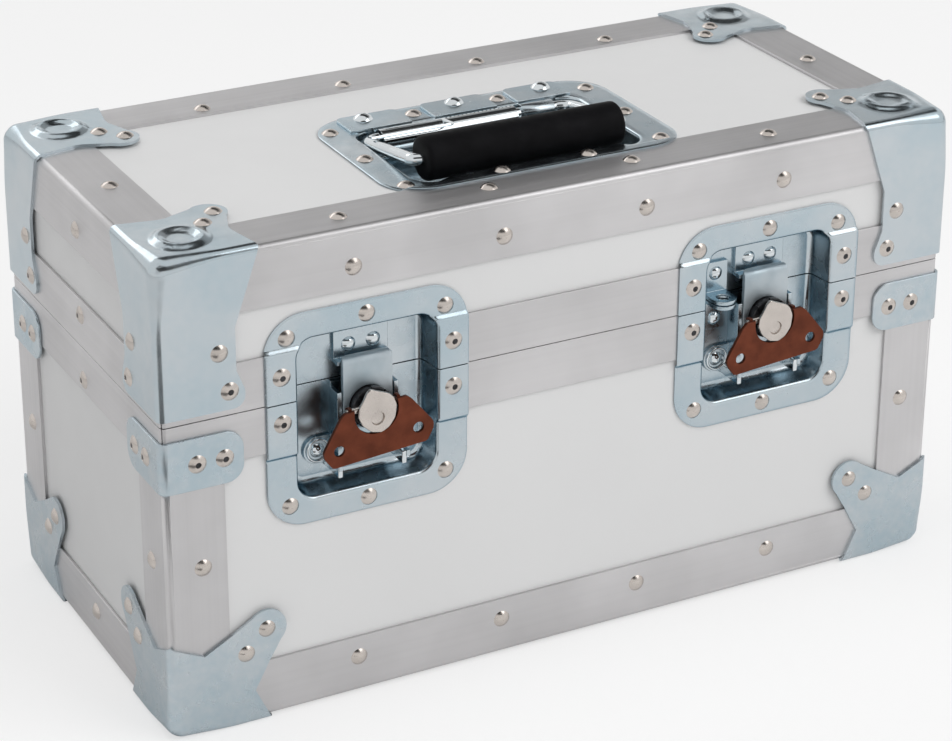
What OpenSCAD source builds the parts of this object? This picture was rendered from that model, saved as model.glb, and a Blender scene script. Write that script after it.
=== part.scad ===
// Riveted telephoto lens case with a hinged lid, two recessed butterfly latches and a recessed handle.
// Front is -Y, right is +X, up is +Z, and the case stands on its four steel bottom corners at Z = 0.

/* [Case] */
// Width over the aluminium edges
case_w = 425; // [400:1:460]
// Depth over the aluminium edges
case_d = 197; // [190:1:230]
// Height of the base, from the aluminium bottom to the parting line
base_h = 162.5; // [150:0.5:190]
// Height of the lid, from the parting line to the aluminium top
lid_h = 79.5; // [78:0.5:95]
// Thickness of the laminate panels
panel_t = 7; // [5:0.5:9]
// Gap between lid and base at the parting line
parting_gap = 0.3; // [0.2:0.05:0.6]

/* [Edge extrusions] */
// Width of each leg of the edge angles
edge_w = 30; // [26:1:34]
// Thickness of the edge angles
edge_t = 1.6; // [1.2:0.1:2]
// Outside radius along the edge angles
edge_r = 3; // [2.5:0.1:4]
// Visible height of the rim on the base
base_rim_h = 23.8; // [22:0.1:26]
// Visible height of the rim on the lid
lid_rim_h = 24.8; // [22:0.1:26]
// Height of the rims' inner leg
rim_inner_h = 14; // [10:1:18]
// Thickness of the rims' inner leg
rim_inner_t = 1.4; // [1:0.1:2]
// Thickness of the base rim's bridge over the panel edge
base_bridge_t = 5; // [4.5:0.1:6]
// Thickness of the lid rim's bridge over the panel edge
lid_bridge_t = 2.2; // [1.8:0.1:3]
// Width of the tongue under the lid rim
tongue_w = 2; // [1.5:0.1:2.5]
// Height of the tongue under the lid rim
tongue_h = 3; // [2:0.1:3.2]
// Clearance beside the tongue in its groove
tongue_gap = 0.9; // [0.8:0.05:1]
// Clearance under the tongue in its groove
groove_gap = 0.4; // [0.3:0.05:0.6]
// Gap at the rims' mitred corners
mitre_gap = 0.2; // [0.1:0.05:0.4]

/* [Steel corners] */
// Thickness of the steel corners and braces
steel_t = 1.5; // [1.2:0.1:2]
// Length of a corner leaf along the case's edges
leaf_l = 50; // [46:1:52]
// Height of the lid corners' upright leaves
lid_leaf_h = 76; // [74:0.5:77]
// Width of the lid corners' upright leaves at the waist
lid_leaf_waist = 37; // [36:0.5:40]
// Radius of the raised stacking ring's ridge line
ring_r = 10.3; // [9:0.1:11]
// Half width of the stacking ring's ridge
ring_half_w = 2.8; // [2:0.1:3]
// Height of the stacking ring
ring_h = 1.8; // [1.2:0.1:2.4]
// Distance of the stacking ring's centre from the case's outer faces
ring_in = 21.5; // [20:0.5:23]
// Height of the rim braces
brace_h = 26; // [24:0.5:28]
// Length of each leg of the rim braces
brace_l = 39.5; // [38:0.5:44]

/* [Rivets] */
// Diameter of the solid rivet heads
rivet_d = 8.6; // [7:0.1:8.8]
// Height of the solid rivet heads
rivet_h = 2; // [1.5:0.1:2.5]
// Diameter of the hollow-nosed rivet heads
blind_d = 9; // [7:0.1:9.4]
// Height of the hollow-nosed rivet heads
blind_h = 1.7; // [1.4:0.1:2]
// Diameter of the nose recess in them
blind_nose_d = 3.2; // [2.4:0.1:3.6]
// Diameter of the small domed rivets on latches and handle
dome_d = 7.4; // [6:0.1:7.6]
// Height of the small domed rivets
dome_h = 2; // [1.5:0.1:2.2]

/* [Latches] */
// Distance of a latch's centre from the case's end
latch_in = 103; // [98:1:108]
// Width of a latch's flange
latch_w = 104; // [100:1:106]
// Flange height above the parting line
latch_up = 43; // [42:0.5:45]
// Flange height below the parting line
latch_down = 65; // [63:0.5:68]
// Outside corner radius of the latch flange
latch_corner_r = 20; // [16:1:22]
// Width of the latch opening
bay_w = 71.5; // [70:0.5:74]
// Opening height above the parting line
bay_up = 29; // [28:0.5:30]
// Opening height below the parting line
bay_down = 52; // [51:0.5:54]
// Corner radius of the latch opening
bay_corner_r = 9; // [7:0.5:11]
// Thickness of the dish steel
dish_t = 1.2; // [1:0.1:1.4]
// Depth of the dish floor behind the panel face
bay_depth = 12.8; // [12.7:0.1:14]
// Height of the stepped part of the flange above the parting line
step_up = 26.4; // [26.2:0.1:26.8]
// Height of the stepped part of the flange below the parting line
step_down = 27.6; // [26.4:0.1:29]
// Distance of the mechanism from the dish's centre line
mech_x = 2.3; // [1.5:0.1:3]
// Height of the hub below the parting line
hub_drop = 12.6; // [12:0.1:14]
// Radius of the hub's boss
boss_r = 9.3; // [8.5:0.1:9.5]
// Radius of the hub's cap
cap_r = 10.5; // [10:0.1:10.8]
// Thickness of the hub's cap
cap_t = 1.5; // [1.2:0.1:1.8]
// Radius of the hub's spindle
spindle_r = 4; // [3:0.1:4.5]
// Running clearance round spindles and pins
run_gap = 0.05; // [0.02:0.01:0.08]
// Lift of the claw over half a turn of the hub
claw_lift = 6.5; // [5:0.1:7]
// Forward travel of the claw over half a turn of the hub
claw_forward = 2.5; // [2.3:0.1:2.6]
// Width of the claw
claw_w = 25.6; // [25:0.1:26]
// Thickness of the claw plate
claw_t = 2; // [1.6:0.1:2.2]
// Thickness of the wing plate
wing_t = 1.8; // [1.4:0.1:2]
// Width of the wing over its tips
wing_w = 57; // [54:0.5:60]
// Drop of the wing's lower edge below the hub
wing_drop = 23; // [21:0.5:24]
// Diameter of the finger holes in the wing
wing_hole_d = 5.5; // [4.5:0.1:6]
// Lean of the closed wing, in degrees
wing_lean = 4.5; // [0:0.5:6]
// Radius of the pin that the wing swings on
wing_pin_r = 1.6; // [1.2:0.1:1.7]
// Radius of the padlock hole
eye_hole_r = 3.5; // [3:0.1:4]
// Width of the padlock eye
eye_w = 13; // [12:0.1:13.6]

/* [Handle] */
// Width of the handle dish's flange beside the opening
grip_flange_side = 16.5; // [14:0.5:20]
// Depth of the handle dish's flange, front to back
grip_dish_d = 106; // [102:1:110]
// Outside corner radius of the handle dish
grip_dish_r = 22; // [18:1:26]
// Clearance beside the rod's arms in the handle opening
rod_side_gap = 3.5; // [2.5:0.1:5]
// Front to back size of the handle opening
grip_bay_d = 75.5; // [74:0.5:78]
// Corner radius of the handle opening
grip_bay_r = 10; // [8:1:12]
// Depth of the handle dish
grip_bay_depth = 15.8; // [15:0.1:18]
// Radius of the handle rod
rod_r = 3; // [2.6:0.1:3.2]
// Bend radius of the rod beside the grip
grip_bend_r = 4; // [3.5:0.1:5]
// Distance from the pivot to the middle of the grip
arm_l = 56; // [54:0.5:58]
// Upward tilt of the closed handle, in degrees
handle_tilt = 9.7; // [6:0.1:11]
// Radius of the rubber grip
grip_r = 11; // [9:0.5:11.5]
// Length of the rubber grip
grip_l = 106; // [96:1:120]
// Outside radius of the hinge knuckles
knuckle_r = 4.5; // [4:0.1:4.6]
// Wire diameter of the return spring
spring_wire = 1.6; // [1.4:0.05:1.7]
// Rise of the return spring per turn
spring_pitch = 2.25; // [2.22:0.01:2.4]

/* [Hinges] */
// Distance of a hinge's centre from the case's end
hinge_in = 92.5; // [84:0.5:112]
// Width of a hinge leaf
hinge_w = 60; // [50:1:70]
// Height of each hinge leaf
hinge_h = 34; // [30:1:38]
// Thickness of the hinge leaves
hinge_t = 1.5; // [1.2:0.1:1.8]
// Outside radius of the hinge knuckles
hinge_knuckle_r = 4; // [3.6:0.1:4.4]
// Radius of the hinge pins
hinge_pin_r = 2.5; // [2:0.1:2.8]

/* [Foam] */
// Thickness of the foam beyond each end of the lens bay
foam_end_t = 30.2; // [20:0.1:42]
// Radius of the lens bay
lens_bay_r = 62; // [55:1:63]
// Depth of the lens bay's axis below the parting line
lens_axis_drop = 45; // [40:1:50]
// Clearance between the foam and what holds it
foam_gap = 0.3; // [0.2:0.05:0.6]

/* [Hidden] */
$fn = 48;

// Colours
white = "#e9e9e7";
alu = "#b9b5b1";
zinc = "#b4c4cc";
nickel = "#b7aea6";
copper = "#6b3323";
black = "#151515";
foam_grey = "#3a3c40";

// Small named clearances and overruns
eps = 0.01;
over = 2;
half_gap = parting_gap / 2;
bend_slack = 0.2;

// Heights of the case
floor_z = steel_t;
part_z = floor_z + base_h;
top_z = part_z + lid_h;
skin = edge_t + panel_t;
wall = skin + rim_inner_t;

// Places along the front and back
latch_spacing = case_w - 2 * latch_in;
hinge_spacing = case_w - 2 * hinge_in;

// Widths of the handle, from the grip outwards
rod_span = grip_l + 2 * grip_bend_r;
half_span = rod_span / 2;
grip_bay_w = rod_span + 2 * rod_r + 2 * rod_side_gap;
grip_dish_w = grip_bay_w + 2 * grip_flange_side;

// Rivet rows, as shares of half the width, and their distances from the edges
row_shares = [-0.546, -0.181, 0.181, 0.546];
edge_row = 19;
top_front_row = 15.5;
top_back_row = 22.5;
post_row = 18;
post_rivet_share = 0.54;
side_rim_row = 17;

module box(low, high) {
    translate(low)
        cube(high - low);
}

// A plate drawn in X and Z that fills the depths from y0 to y1
module slab(y0, y1) {
    translate([0, y1, 0])
        rotate([90, 0, 0])
            linear_extrude(height = y1 - y0)
                children();
}

// A rectangle from low to high with rounded corners
module round_rect(low, high, r) {
    size = high - low;
    translate(low + [r, 0])
        square(size - [2 * r, 0]);
    translate(low + [0, r])
        square(size - [0, 2 * r]);
    for (x = [low[0] + r, high[0] - r])
        for (y = [low[1] + r, high[1] - r])
            translate([x, y])
                circle(r = r);
}

// Copies for the four upright edges, drawn at the front left one
module at_corners() {
    for (mx = [0, 1])
        for (my = [0, 1])
            mirror([mx, 0, 0])
                mirror([0, my, 0])
                    translate([-case_w / 2, -case_d / 2, 0])
                        children();
}

// Panels

module case_panel(low, high) {
    color(white)
        box(low, high);
}

latch_cut = bay_w / 2 + dish_t + bend_slack;
latch_cut_up = bay_up + dish_t + bend_slack;
latch_cut_down = bay_down + dish_t + bend_slack;

// The rectangular cut-outs for both latches, from the front face inwards
module latch_cuts(depth) {
    for (side = [-1, 1])
        translate([side * latch_spacing / 2, -case_d / 2, part_z])
            box([-latch_cut, -over, -latch_cut_down], [latch_cut, depth, latch_cut_up]);
}

module base_front_panel() {
    color(white)
        difference() {
            box([-case_w / 2 + edge_t, -case_d / 2 + edge_t, floor_z + skin],
                [case_w / 2 - edge_t, -case_d / 2 + skin, part_z - half_gap - base_bridge_t]);
            latch_cuts(wall);
        }
}

module base_back_panel() {
    case_panel([-case_w / 2 + edge_t, case_d / 2 - skin, floor_z + skin],
        [case_w / 2 - edge_t, case_d / 2 - edge_t, part_z - half_gap - base_bridge_t]);
}

module base_side_panel() {
    case_panel([-case_w / 2 + edge_t, -case_d / 2 + skin, floor_z + skin],
        [-case_w / 2 + skin, case_d / 2 - skin, part_z - half_gap - base_bridge_t]);
}

module base_bottom_panel() {
    case_panel([-case_w / 2 + edge_t, -case_d / 2 + edge_t, floor_z + edge_t],
        [case_w / 2 - edge_t, case_d / 2 - edge_t, floor_z + skin]);
}

module lid_front_panel() {
    color(white)
        difference() {
            box([-case_w / 2 + edge_t, -case_d / 2 + edge_t, part_z + half_gap + lid_bridge_t],
                [case_w / 2 - edge_t, -case_d / 2 + skin, top_z - skin]);
            latch_cuts(wall);
        }
}

module lid_back_panel() {
    case_panel([-case_w / 2 + edge_t, case_d / 2 - skin, part_z + half_gap + lid_bridge_t],
        [case_w / 2 - edge_t, case_d / 2 - edge_t, top_z - skin]);
}

module lid_side_panel() {
    case_panel([-case_w / 2 + edge_t, -case_d / 2 + skin, part_z + half_gap + lid_bridge_t],
        [-case_w / 2 + skin, case_d / 2 - skin, top_z - skin]);
}

module lid_top_panel() {
    color(white)
        difference() {
            box([-case_w / 2 + edge_t, -case_d / 2 + edge_t, top_z - skin],
                [case_w / 2 - edge_t, case_d / 2 - edge_t, top_z - edge_t]);
            translate([0, 0, top_z - skin - over])
                linear_extrude(height = skin + 2 * over)
                    grip_bay_outline(dish_t + bend_slack);
        }
}

// Edge angles

// The angle's cross section, with its rounded outside edge at the origin
module angle_section() {
    difference() {
        union() {
            translate([edge_r, 0])
                square([edge_w - edge_r, edge_w]);
            translate([0, edge_r])
                square([edge_w, edge_w - edge_r]);
            translate([edge_r, edge_r])
                circle(r = edge_r);
        }
        translate([edge_t, edge_t])
            square(edge_w);
    }
}

// A length of angle along X with its flat leg running on under the corners, lying at the origin
module edge_angle(length) {
    mid = length - 2 * edge_w;
    run = length - 2 * edge_r;
    translate([-mid / 2, 0, 0])
        rotate([90, 0, 90])
            linear_extrude(height = mid)
                angle_section();
    translate([-run / 2, edge_r, 0])
        cube([run, edge_w - edge_r, edge_t]);
}

// A length of angle along Y that stops at the corners
module short_edge_angle() {
    length = case_d - 2 * edge_w;
    translate([-case_w / 2, length / 2, 0])
        rotate([90, 0, 0])
            linear_extrude(height = length)
                angle_section();
}

module bottom_edge_front() {
    color(alu)
        translate([0, -case_d / 2, floor_z])
            edge_angle(case_w);
}

module bottom_edge_back() {
    mirror([0, 1, 0])
        bottom_edge_front();
}

module bottom_edge_left() {
    color(alu)
        translate([0, 0, floor_z])
            short_edge_angle();
}

module bottom_edge_right() {
    mirror([1, 0, 0])
        bottom_edge_left();
}

module top_edge_front() {
    color(alu)
        translate([0, -case_d / 2, top_z])
            mirror([0, 0, 1])
                edge_angle(case_w);
}

module top_edge_back() {
    mirror([0, 1, 0])
        top_edge_front();
}

module top_edge_left() {
    color(alu)
        translate([0, 0, top_z])
            mirror([0, 0, 1])
                short_edge_angle();
}

module top_edge_right() {
    mirror([1, 0, 0])
        top_edge_left();
}

// Four upright angles between the heights z0 and z1
module posts(z0, z1) {
    color(alu)
        at_corners()
            translate([0, 0, z0])
                linear_extrude(height = z1 - z0)
                    angle_section();
}

module base_posts() {
    posts(floor_z + edge_r, part_z - half_gap - base_rim_h);
}

module lid_posts() {
    posts(part_z + half_gap + lid_rim_h, top_z - edge_r);
}

// Rims

// A ring round the case from the inset in0 to in1, with the case's rounded outside corners
module ring(in0, in1, z0, z1) {
    translate([0, 0, z0])
        linear_extrude(height = z1 - z0)
            difference() {
                round_rect([-case_w / 2 + in0, -case_d / 2 + in0], [case_w / 2 - in0, case_d / 2 - in0],
                    in0 < edge_r ? edge_r - in0 : eps);
                square([case_w - 2 * in1, case_d - 2 * in1], center = true);
            }
}

// The four mitred quarters of the plan, each with a gap at its mitres
module mitre_quarters() {
    g = mitre_gap;
    hw = case_w / 2 + over;
    hd = case_d / 2 + over;
    cut = wall + 2 * over;
    for (side = [-1, 1]) {
        scale_y = side * hd;
        polygon([[-hw + g, scale_y], [hw - g, scale_y],
            [hw - cut - g, side * (hd - cut)], [-hw + cut + g, side * (hd - cut)]]);
        scale_x = side * hw;
        polygon([[scale_x, -hd + g], [scale_x, hd - g],
            [side * (hw - cut), hd - cut - g], [side * (hw - cut), -hd + cut + g]]);
    }
}

module mitred(z0, z1) {
    intersection() {
        union()
            children();
        translate([0, 0, z0])
            linear_extrude(height = z1 - z0)
                mitre_quarters();
    }
}

tongue_in = wall / 2 - tongue_w / 2;

module base_rim() {
    high = part_z - half_gap;
    groove_h = tongue_h + groove_gap;
    color(alu)
        difference() {
            mitred(high - base_rim_h - over, high + over) {
                ring(0, edge_t, high - base_rim_h, high);
                ring(0, wall, high - base_bridge_t, high);
                ring(skin, wall, high - rim_inner_h, high);
            }
            ring(tongue_in - tongue_gap, tongue_in + tongue_w + tongue_gap, high - groove_h, high + over);
            latch_cuts(wall + over);
        }
}

module lid_rim() {
    low = part_z + half_gap;
    color(alu)
        difference() {
            mitred(low - tongue_h - over, low + lid_rim_h + over) {
                ring(0, edge_t, low, low + lid_rim_h);
                ring(0, wall, low, low + lid_bridge_t);
                ring(skin, wall, low, low + rim_inner_h);
                ring(tongue_in, tongue_in + tongue_w, low - tongue_h, low + eps);
            }
            latch_cuts(wall + over);
        }
}

// Steel corners

bend_r = edge_r + steel_t;
block = leaf_l + lid_leaf_h;

// A solid block with its outer vertex at the origin and rounded edges there
module rounded_block(size, r) {
    rest = size - r;
    union() {
        translate([r, r, r])
            sphere(r = r);
        translate([r, r, r])
            cylinder(r = r, h = rest);
        translate([r, r, r])
            rotate([0, 90, 0])
                cylinder(r = r, h = rest);
        translate([r, r, r])
            rotate([-90, 0, 0])
                cylinder(r = r, h = rest);
        translate([0, r, r])
            cube([size, rest, rest]);
        translate([r, 0, r])
            cube([rest, size, rest]);
        translate([r, r, 0])
            cube([rest, rest, size]);
    }
}

module round_quadrant(size, r) {
    translate([r, 0])
        square([size - r, size]);
    translate([0, r])
        square([size, size - r]);
    translate([r, r])
        circle(r = r);
}

// The space inside a corner pressing
module inner_block(size, r) {
    intersection() {
        linear_extrude(height = size)
            round_quadrant(size, r);
        rotate([90, 0, 90])
            linear_extrude(height = size)
                round_quadrant(size, r);
        translate([0, size, 0])
            rotate([90, 0, 0])
                linear_extrude(height = size)
                    round_quadrant(size, r);
    }
}

// A leaf with a diagonal rivet lobe: waist, neck and lobe are shares of the leaf's length
module lobe_leaf(waist_shares, neck_shares, lobe_share, lobe_r_share) {
    lobe = lobe_share * leaf_l;
    r = lobe_r_share * leaf_l;
    reach = r * sqrt(2) / 2;
    w = waist_shares * leaf_l;
    n = neck_shares * leaf_l;
    polygon([[-over, -over], [leaf_l, -over], [leaf_l, 0], w, n,
        [lobe + reach, lobe - reach], [lobe - reach, lobe + reach],
        [n[1], n[0]], [w[1], w[0]], [0, leaf_l], [-over, leaf_l]]);
    translate([lobe, lobe])
        circle(r = r);
}

lid_bulge_out = 4;
lid_bulge = lid_leaf_waist + lid_bulge_out;
lid_flare_h = 36;
lid_bulge_h = 14;
lid_bulge_r = 6;

// The upright leaf of a lid corner: flared at the top, with a rounded foot
module lid_leaf() {
    polygon([[-over, -over], [leaf_l, -over], [leaf_l, 0],
        [lid_leaf_waist, lid_flare_h], [lid_leaf_waist, lid_leaf_h - lid_bulge_r],
        [lid_leaf_waist - lid_bulge_r, lid_leaf_h], [-over, lid_leaf_h]]);
    round_rect([lid_bulge - lid_bulge_h, lid_leaf_h - lid_bulge_h], [lid_bulge, lid_leaf_h], lid_bulge_r);
}

bottom_waist_shares = [0.83, 0.33];
bottom_neck_shares = [0.985, 0.62];
top_waist_shares = [0.92, 0.40];
top_neck_shares = [0.92, 0.48];

// A pressing with its vertex at the origin, its leaves cut by three outlines: along XY, XZ and YZ
module pressing() {
    intersection() {
        difference() {
            translate([-steel_t, -steel_t, -steel_t])
                rounded_block(block, bend_r - bend_slack);
            inner_block(block + over, edge_r - bend_slack);
        }
        union() {
            translate([0, 0, -steel_t - over])
                linear_extrude(height = bend_r + over)
                    children(0);
            slab(-steel_t - over, edge_r)
                children(1);
            rotate([0, 0, 90])
                mirror([0, 1, 0])
                    slab(-steel_t - over, edge_r)
                        children(2);
        }
    }
}

module bottom_leaf() {
    lobe_leaf(bottom_waist_shares, bottom_neck_shares, 0.965, 0.2);
}

module bottom_corners() {
    color(zinc)
        at_corners()
            translate([0, 0, floor_z])
                pressing() {
                    bottom_leaf();
                    bottom_leaf();
                    bottom_leaf();
                }
}

// The raised ring on a lid corner, on which a stacked case locates
module stacking_ring() {
    k = (pow(ring_half_w, 2) + pow(ring_h, 2)) / (2 * ring_h);
    rotate_extrude()
        intersection() {
            translate([ring_r, ring_h - k])
                circle(r = k);
            translate([ring_r - ring_half_w - over, -eps])
                square([2 * (ring_half_w + over), ring_h + over]);
        }
}

module lid_corners() {
    color(zinc)
        at_corners()
            translate([0, 0, top_z])
                union() {
                    mirror([0, 0, 1])
                        pressing() {
                            lobe_leaf(top_waist_shares, top_neck_shares, 0.89, 0.185);
                            lid_leaf();
                            lid_leaf();
                        }
                    translate([ring_in, ring_in, steel_t])
                        stacking_ring();
                }
}

brace_tail = 9.5;
brace_low = part_z - base_rim_h - brace_tail;
brace_mid = brace_low + brace_h / 2;
brace_end_r = 9;

module brace_section() {
    difference() {
        translate([-steel_t, -steel_t])
            round_quadrant(brace_l + steel_t, bend_r - bend_slack);
        round_quadrant(brace_l + over, edge_r - bend_slack);
    }
}

// A right-angled strap over a mitred corner of the base rim
module rim_braces() {
    r = brace_end_r;
    color(zinc)
        at_corners()
            intersection() {
                translate([0, 0, brace_low])
                    linear_extrude(height = brace_h)
                        brace_section();
                slab(-steel_t - over, brace_l + over)
                    round_rect([-brace_l, brace_low], [brace_l, brace_low + brace_h], r);
                rotate([0, 0, 90])
                    mirror([0, 1, 0])
                        slab(-steel_t - over, brace_l + over)
                            round_rect([-brace_l, brace_low], [brace_l, brace_low + brace_h], r);
            }
}

// Rivets, drawn standing on the XY plane

module dome(d, h) {
    k = (pow(d / 2, 2) + pow(h, 2)) / (2 * h);
    intersection() {
        translate([0, 0, h - k])
            sphere(r = k);
        cylinder(r = d / 2, h = h + over);
    }
}

module solid_rivet() {
    dome(rivet_d, rivet_h);
}

module small_rivet() {
    dome(dome_d, dome_h);
}

module blind_rivet() {
    difference() {
        dome(blind_d, blind_h);
        translate([0, 0, blind_h / 2])
            cylinder(r1 = blind_nose_d / 3, r2 = blind_nose_d / 2, h = blind_h / 2 + eps);
    }
}

// Stand a rivet on a face: at(x, y, z) with the outward direction
module face_front(x, y, z) {
    translate([x, y, z])
        rotate([90, 0, 0])
            children();
}

module face_back(x, y, z) {
    translate([x, y, z])
        rotate([-90, 0, 0])
            children();
}

module face_left(x, y, z) {
    translate([x, y, z])
        rotate([0, -90, 0])
            children();
}

// The same rivet on the left face and mirrored on the right face
module on_sides(y, z, proud) {
    for (m = [0, 1])
        mirror([m, 0, 0])
            face_left(-case_w / 2 - proud, y, z)
                children();
}

// The same rivet on the front and back faces
module on_front_and_back(x, z, proud) {
    for (m = [0, 1])
        mirror([0, m, 0])
            face_front(x, -case_d / 2 - proud, z)
                children();
}

near_lobe_share = 0.75;
far_lobe_share = 0.965;
top_near_lobe_shares = [0.75, 0.67];
top_far_lobe_shares = [0.94, 0.88];
lid_rivet_in = 29;
lid_rivet_down = 47.4;
lid_blind_in = 33.5;
lid_blind_rise = 9;
lid_blind_down = lid_leaf_h - lid_blind_rise;
brace_near = 16.5;
brace_far = 30;

// Latch flange rivets, from the latch's centre line and the parting line
latch_tuck_x = 3.5;
latch_outer_x = (latch_w + bay_w) / 4 - latch_tuck_x;
latch_side_x = (latch_w + bay_w) / 4;
latch_top_z = (latch_up + bay_up) / 2;
latch_low_z = (latch_down + bay_down) / 2;
latch_tuck = 4.5;
latch_blind_up = 13.5;
latch_blind_down = 10;
flange_panel_y = edge_t - dish_t;

hinge_axis_y = case_d / 2 + hinge_knuckle_r;
hinge_rivet_in = 9;
hinge_rivet_rise = 5;
hinge_rivet_x = hinge_w / 2 - hinge_rivet_in;
hinge_rivet_z = hinge_h / 2 + hinge_rivet_rise;

module hinge_rivets(direction) {
    for (side = [-1, 1])
        for (x = [-hinge_rivet_x, 0, hinge_rivet_x])
            face_back(side * hinge_spacing / 2 + x, case_d / 2 + hinge_t, part_z + direction * hinge_rivet_z)
                solid_rivet();
}

module base_rivets() {
    low_z = floor_z + edge_row;
    color(nickel) {
        for (s = row_shares)
            on_front_and_back(s * case_w / 2, low_z, 0)
                solid_rivet();
        for (side = [-1, 1]) {
            on_front_and_back(side * (case_w / 2 - post_row), floor_z + post_rivet_share * base_h, 0)
                solid_rivet();
            on_sides(side * (case_d / 2 - post_row), floor_z + post_rivet_share * base_h, 0)
                solid_rivet();
        }
        on_sides(0, low_z, 0)
            solid_rivet();
        at_corners()
            for (s = [near_lobe_share, far_lobe_share]) {
                at = s * leaf_l;
                face_front(at, -steel_t, floor_z + at)
                    solid_rivet();
                face_left(-steel_t, at, floor_z + at)
                    solid_rivet();
            }
        for (side = [-1, 1])
            translate([side * latch_spacing / 2, -case_d / 2 + flange_panel_y, part_z])
                for (x = [-latch_outer_x, 0, latch_outer_x])
                    face_front(x, 0, -latch_low_z + (x == 0 ? 0 : latch_tuck))
                        solid_rivet();
        hinge_rivets(-1);
    }
}

module base_blind_rivets() {
    color(nickel) {
        at_corners()
            for (at = [brace_near, brace_far]) {
                face_front(at, -steel_t, brace_mid)
                    blind_rivet();
                face_left(-steel_t, at, brace_mid)
                    blind_rivet();
            }
        on_sides(0, part_z - side_rim_row, 0)
            blind_rivet();
        for (side = [-1, 1])
            translate([side * latch_spacing / 2, -case_d / 2 - dish_t, part_z])
                for (x = [-latch_side_x, latch_side_x])
                    face_front(x, 0, -latch_blind_down)
                        blind_rivet();
        face_back(0, case_d / 2, part_z - side_rim_row)
            blind_rivet();
    }
}

module lid_rivets() {
    high_z = top_z - edge_row;
    color(nickel) {
        for (s = row_shares) {
            on_front_and_back(s * case_w / 2, high_z, 0)
                solid_rivet();
            translate([s * case_w / 2, -case_d / 2 + top_front_row, top_z])
                solid_rivet();
            translate([s * case_w / 2, case_d / 2 - top_back_row, top_z])
                solid_rivet();
        }
        on_sides(0, high_z, 0)
            solid_rivet();
        for (side = [-1, 1])
            translate([side * (case_w / 2 - post_row), 0, top_z])
                solid_rivet();
        at_corners() {
            face_front(lid_rivet_in, -steel_t, top_z - lid_rivet_down)
                solid_rivet();
            face_left(-steel_t, lid_rivet_in, top_z - lid_rivet_down)
                solid_rivet();
            for (s = [top_near_lobe_shares, top_far_lobe_shares])
                translate([s[0] * leaf_l, s[1] * leaf_l, top_z + steel_t])
                    solid_rivet();
        }
        for (side = [-1, 1])
            translate([side * latch_spacing / 2, -case_d / 2 + flange_panel_y, part_z])
                for (x = [-latch_outer_x, 0, latch_outer_x])
                    face_front(x, 0, latch_top_z - (x == 0 ? 0 : latch_tuck))
                        solid_rivet();
        hinge_rivets(1);
        handle_flange_rivets();
    }
}

module lid_blind_rivets() {
    color(nickel) {
        at_corners() {
            face_front(lid_blind_in, -steel_t, top_z - lid_blind_down)
                blind_rivet();
            face_left(-steel_t, lid_blind_in, top_z - lid_blind_down)
                blind_rivet();
        }
        on_sides(0, part_z + side_rim_row, 0)
            blind_rivet();
        for (side = [-1, 1])
            translate([side * latch_spacing / 2, -case_d / 2 - dish_t, part_z])
                for (x = [-latch_side_x, latch_side_x])
                    face_front(x, 0, latch_blind_up)
                        blind_rivet();
        face_back(0, case_d / 2, part_z + side_rim_row)
            blind_rivet();
    }
}

// Latches, drawn with the aluminium face at Y = 0, the parting line at Z = 0 and depth along +Y

module at_latch(side) {
    translate([side * latch_spacing / 2, -case_d / 2, part_z])
        children();
}

dish_floor = edge_t + bay_depth;
dish_back = dish_floor + dish_t;

module latch_flange_outline() {
    round_rect([-latch_w / 2, -latch_down], [latch_w / 2, latch_up], latch_corner_r);
}

module bay_outline(grow) {
    reach = bay_w / 2 + grow;
    round_rect([-reach, -bay_down - grow], [reach, bay_up + grow], bay_corner_r + grow);
}

module z_band(low, high) {
    translate([-latch_w, low])
        square([2 * latch_w, high - low]);
}

// The whole dish: a flat flange stepped out over the rims, and a pan with a flat floor
module latch_dish() {
    difference() {
        union() {
            slab(edge_t - dish_t, edge_t)
                difference() {
                    latch_flange_outline();
                    z_band(-step_down, step_up);
                }
            slab(-dish_t, edge_t)
                intersection() {
                    latch_flange_outline();
                    union() {
                        z_band(-step_down, -step_down + dish_t);
                        z_band(step_up - dish_t, step_up);
                    }
                }
            slab(-dish_t, 0)
                intersection() {
                    latch_flange_outline();
                    z_band(-step_down, step_up);
                }
            slab(-dish_t, dish_back)
                intersection() {
                    bay_outline(dish_t);
                    z_band(-step_down, step_up);
                }
            slab(edge_t - dish_t, dish_back)
                bay_outline(dish_t);
        }
        slab(-dish_t - over, dish_floor)
            bay_outline(0);
    }
}

module lower_dish(side) {
    color(zinc)
        at_latch(side)
            intersection() {
                latch_dish();
                box([-latch_w, -dish_t - over, -latch_down - over], [latch_w, dish_back + over, -half_gap]);
            }
}

module upper_dish(side) {
    color(zinc)
        at_latch(side)
            intersection() {
                latch_dish();
                box([-latch_w, -dish_t - over, half_gap], [latch_w, dish_back + over, latch_up + over]);
            }
}

// Keeper on the lid's half of the dish: a plate with a ledge for the claw
keeper_t = 2;
keeper_half_w = 14;
keeper_low = 8.3;
keeper_high = 24;
keeper_reach = 6.4;
keeper_rivet_x = 6.35;
keeper_rivet_z = 16.5;

module at_mechanism(side) {
    at_latch(side)
        translate([mech_x, 0, 0])
            children();
}

module keeper(side) {
    color(zinc)
        at_mechanism(side)
            union() {
                box([-keeper_half_w, dish_floor - keeper_t, keeper_low],
                    [keeper_half_w, dish_floor, keeper_high]);
                box([-keeper_half_w, dish_floor - keeper_reach, keeper_low],
                    [keeper_half_w, dish_floor, keeper_low + keeper_t]);
            }
}

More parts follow.
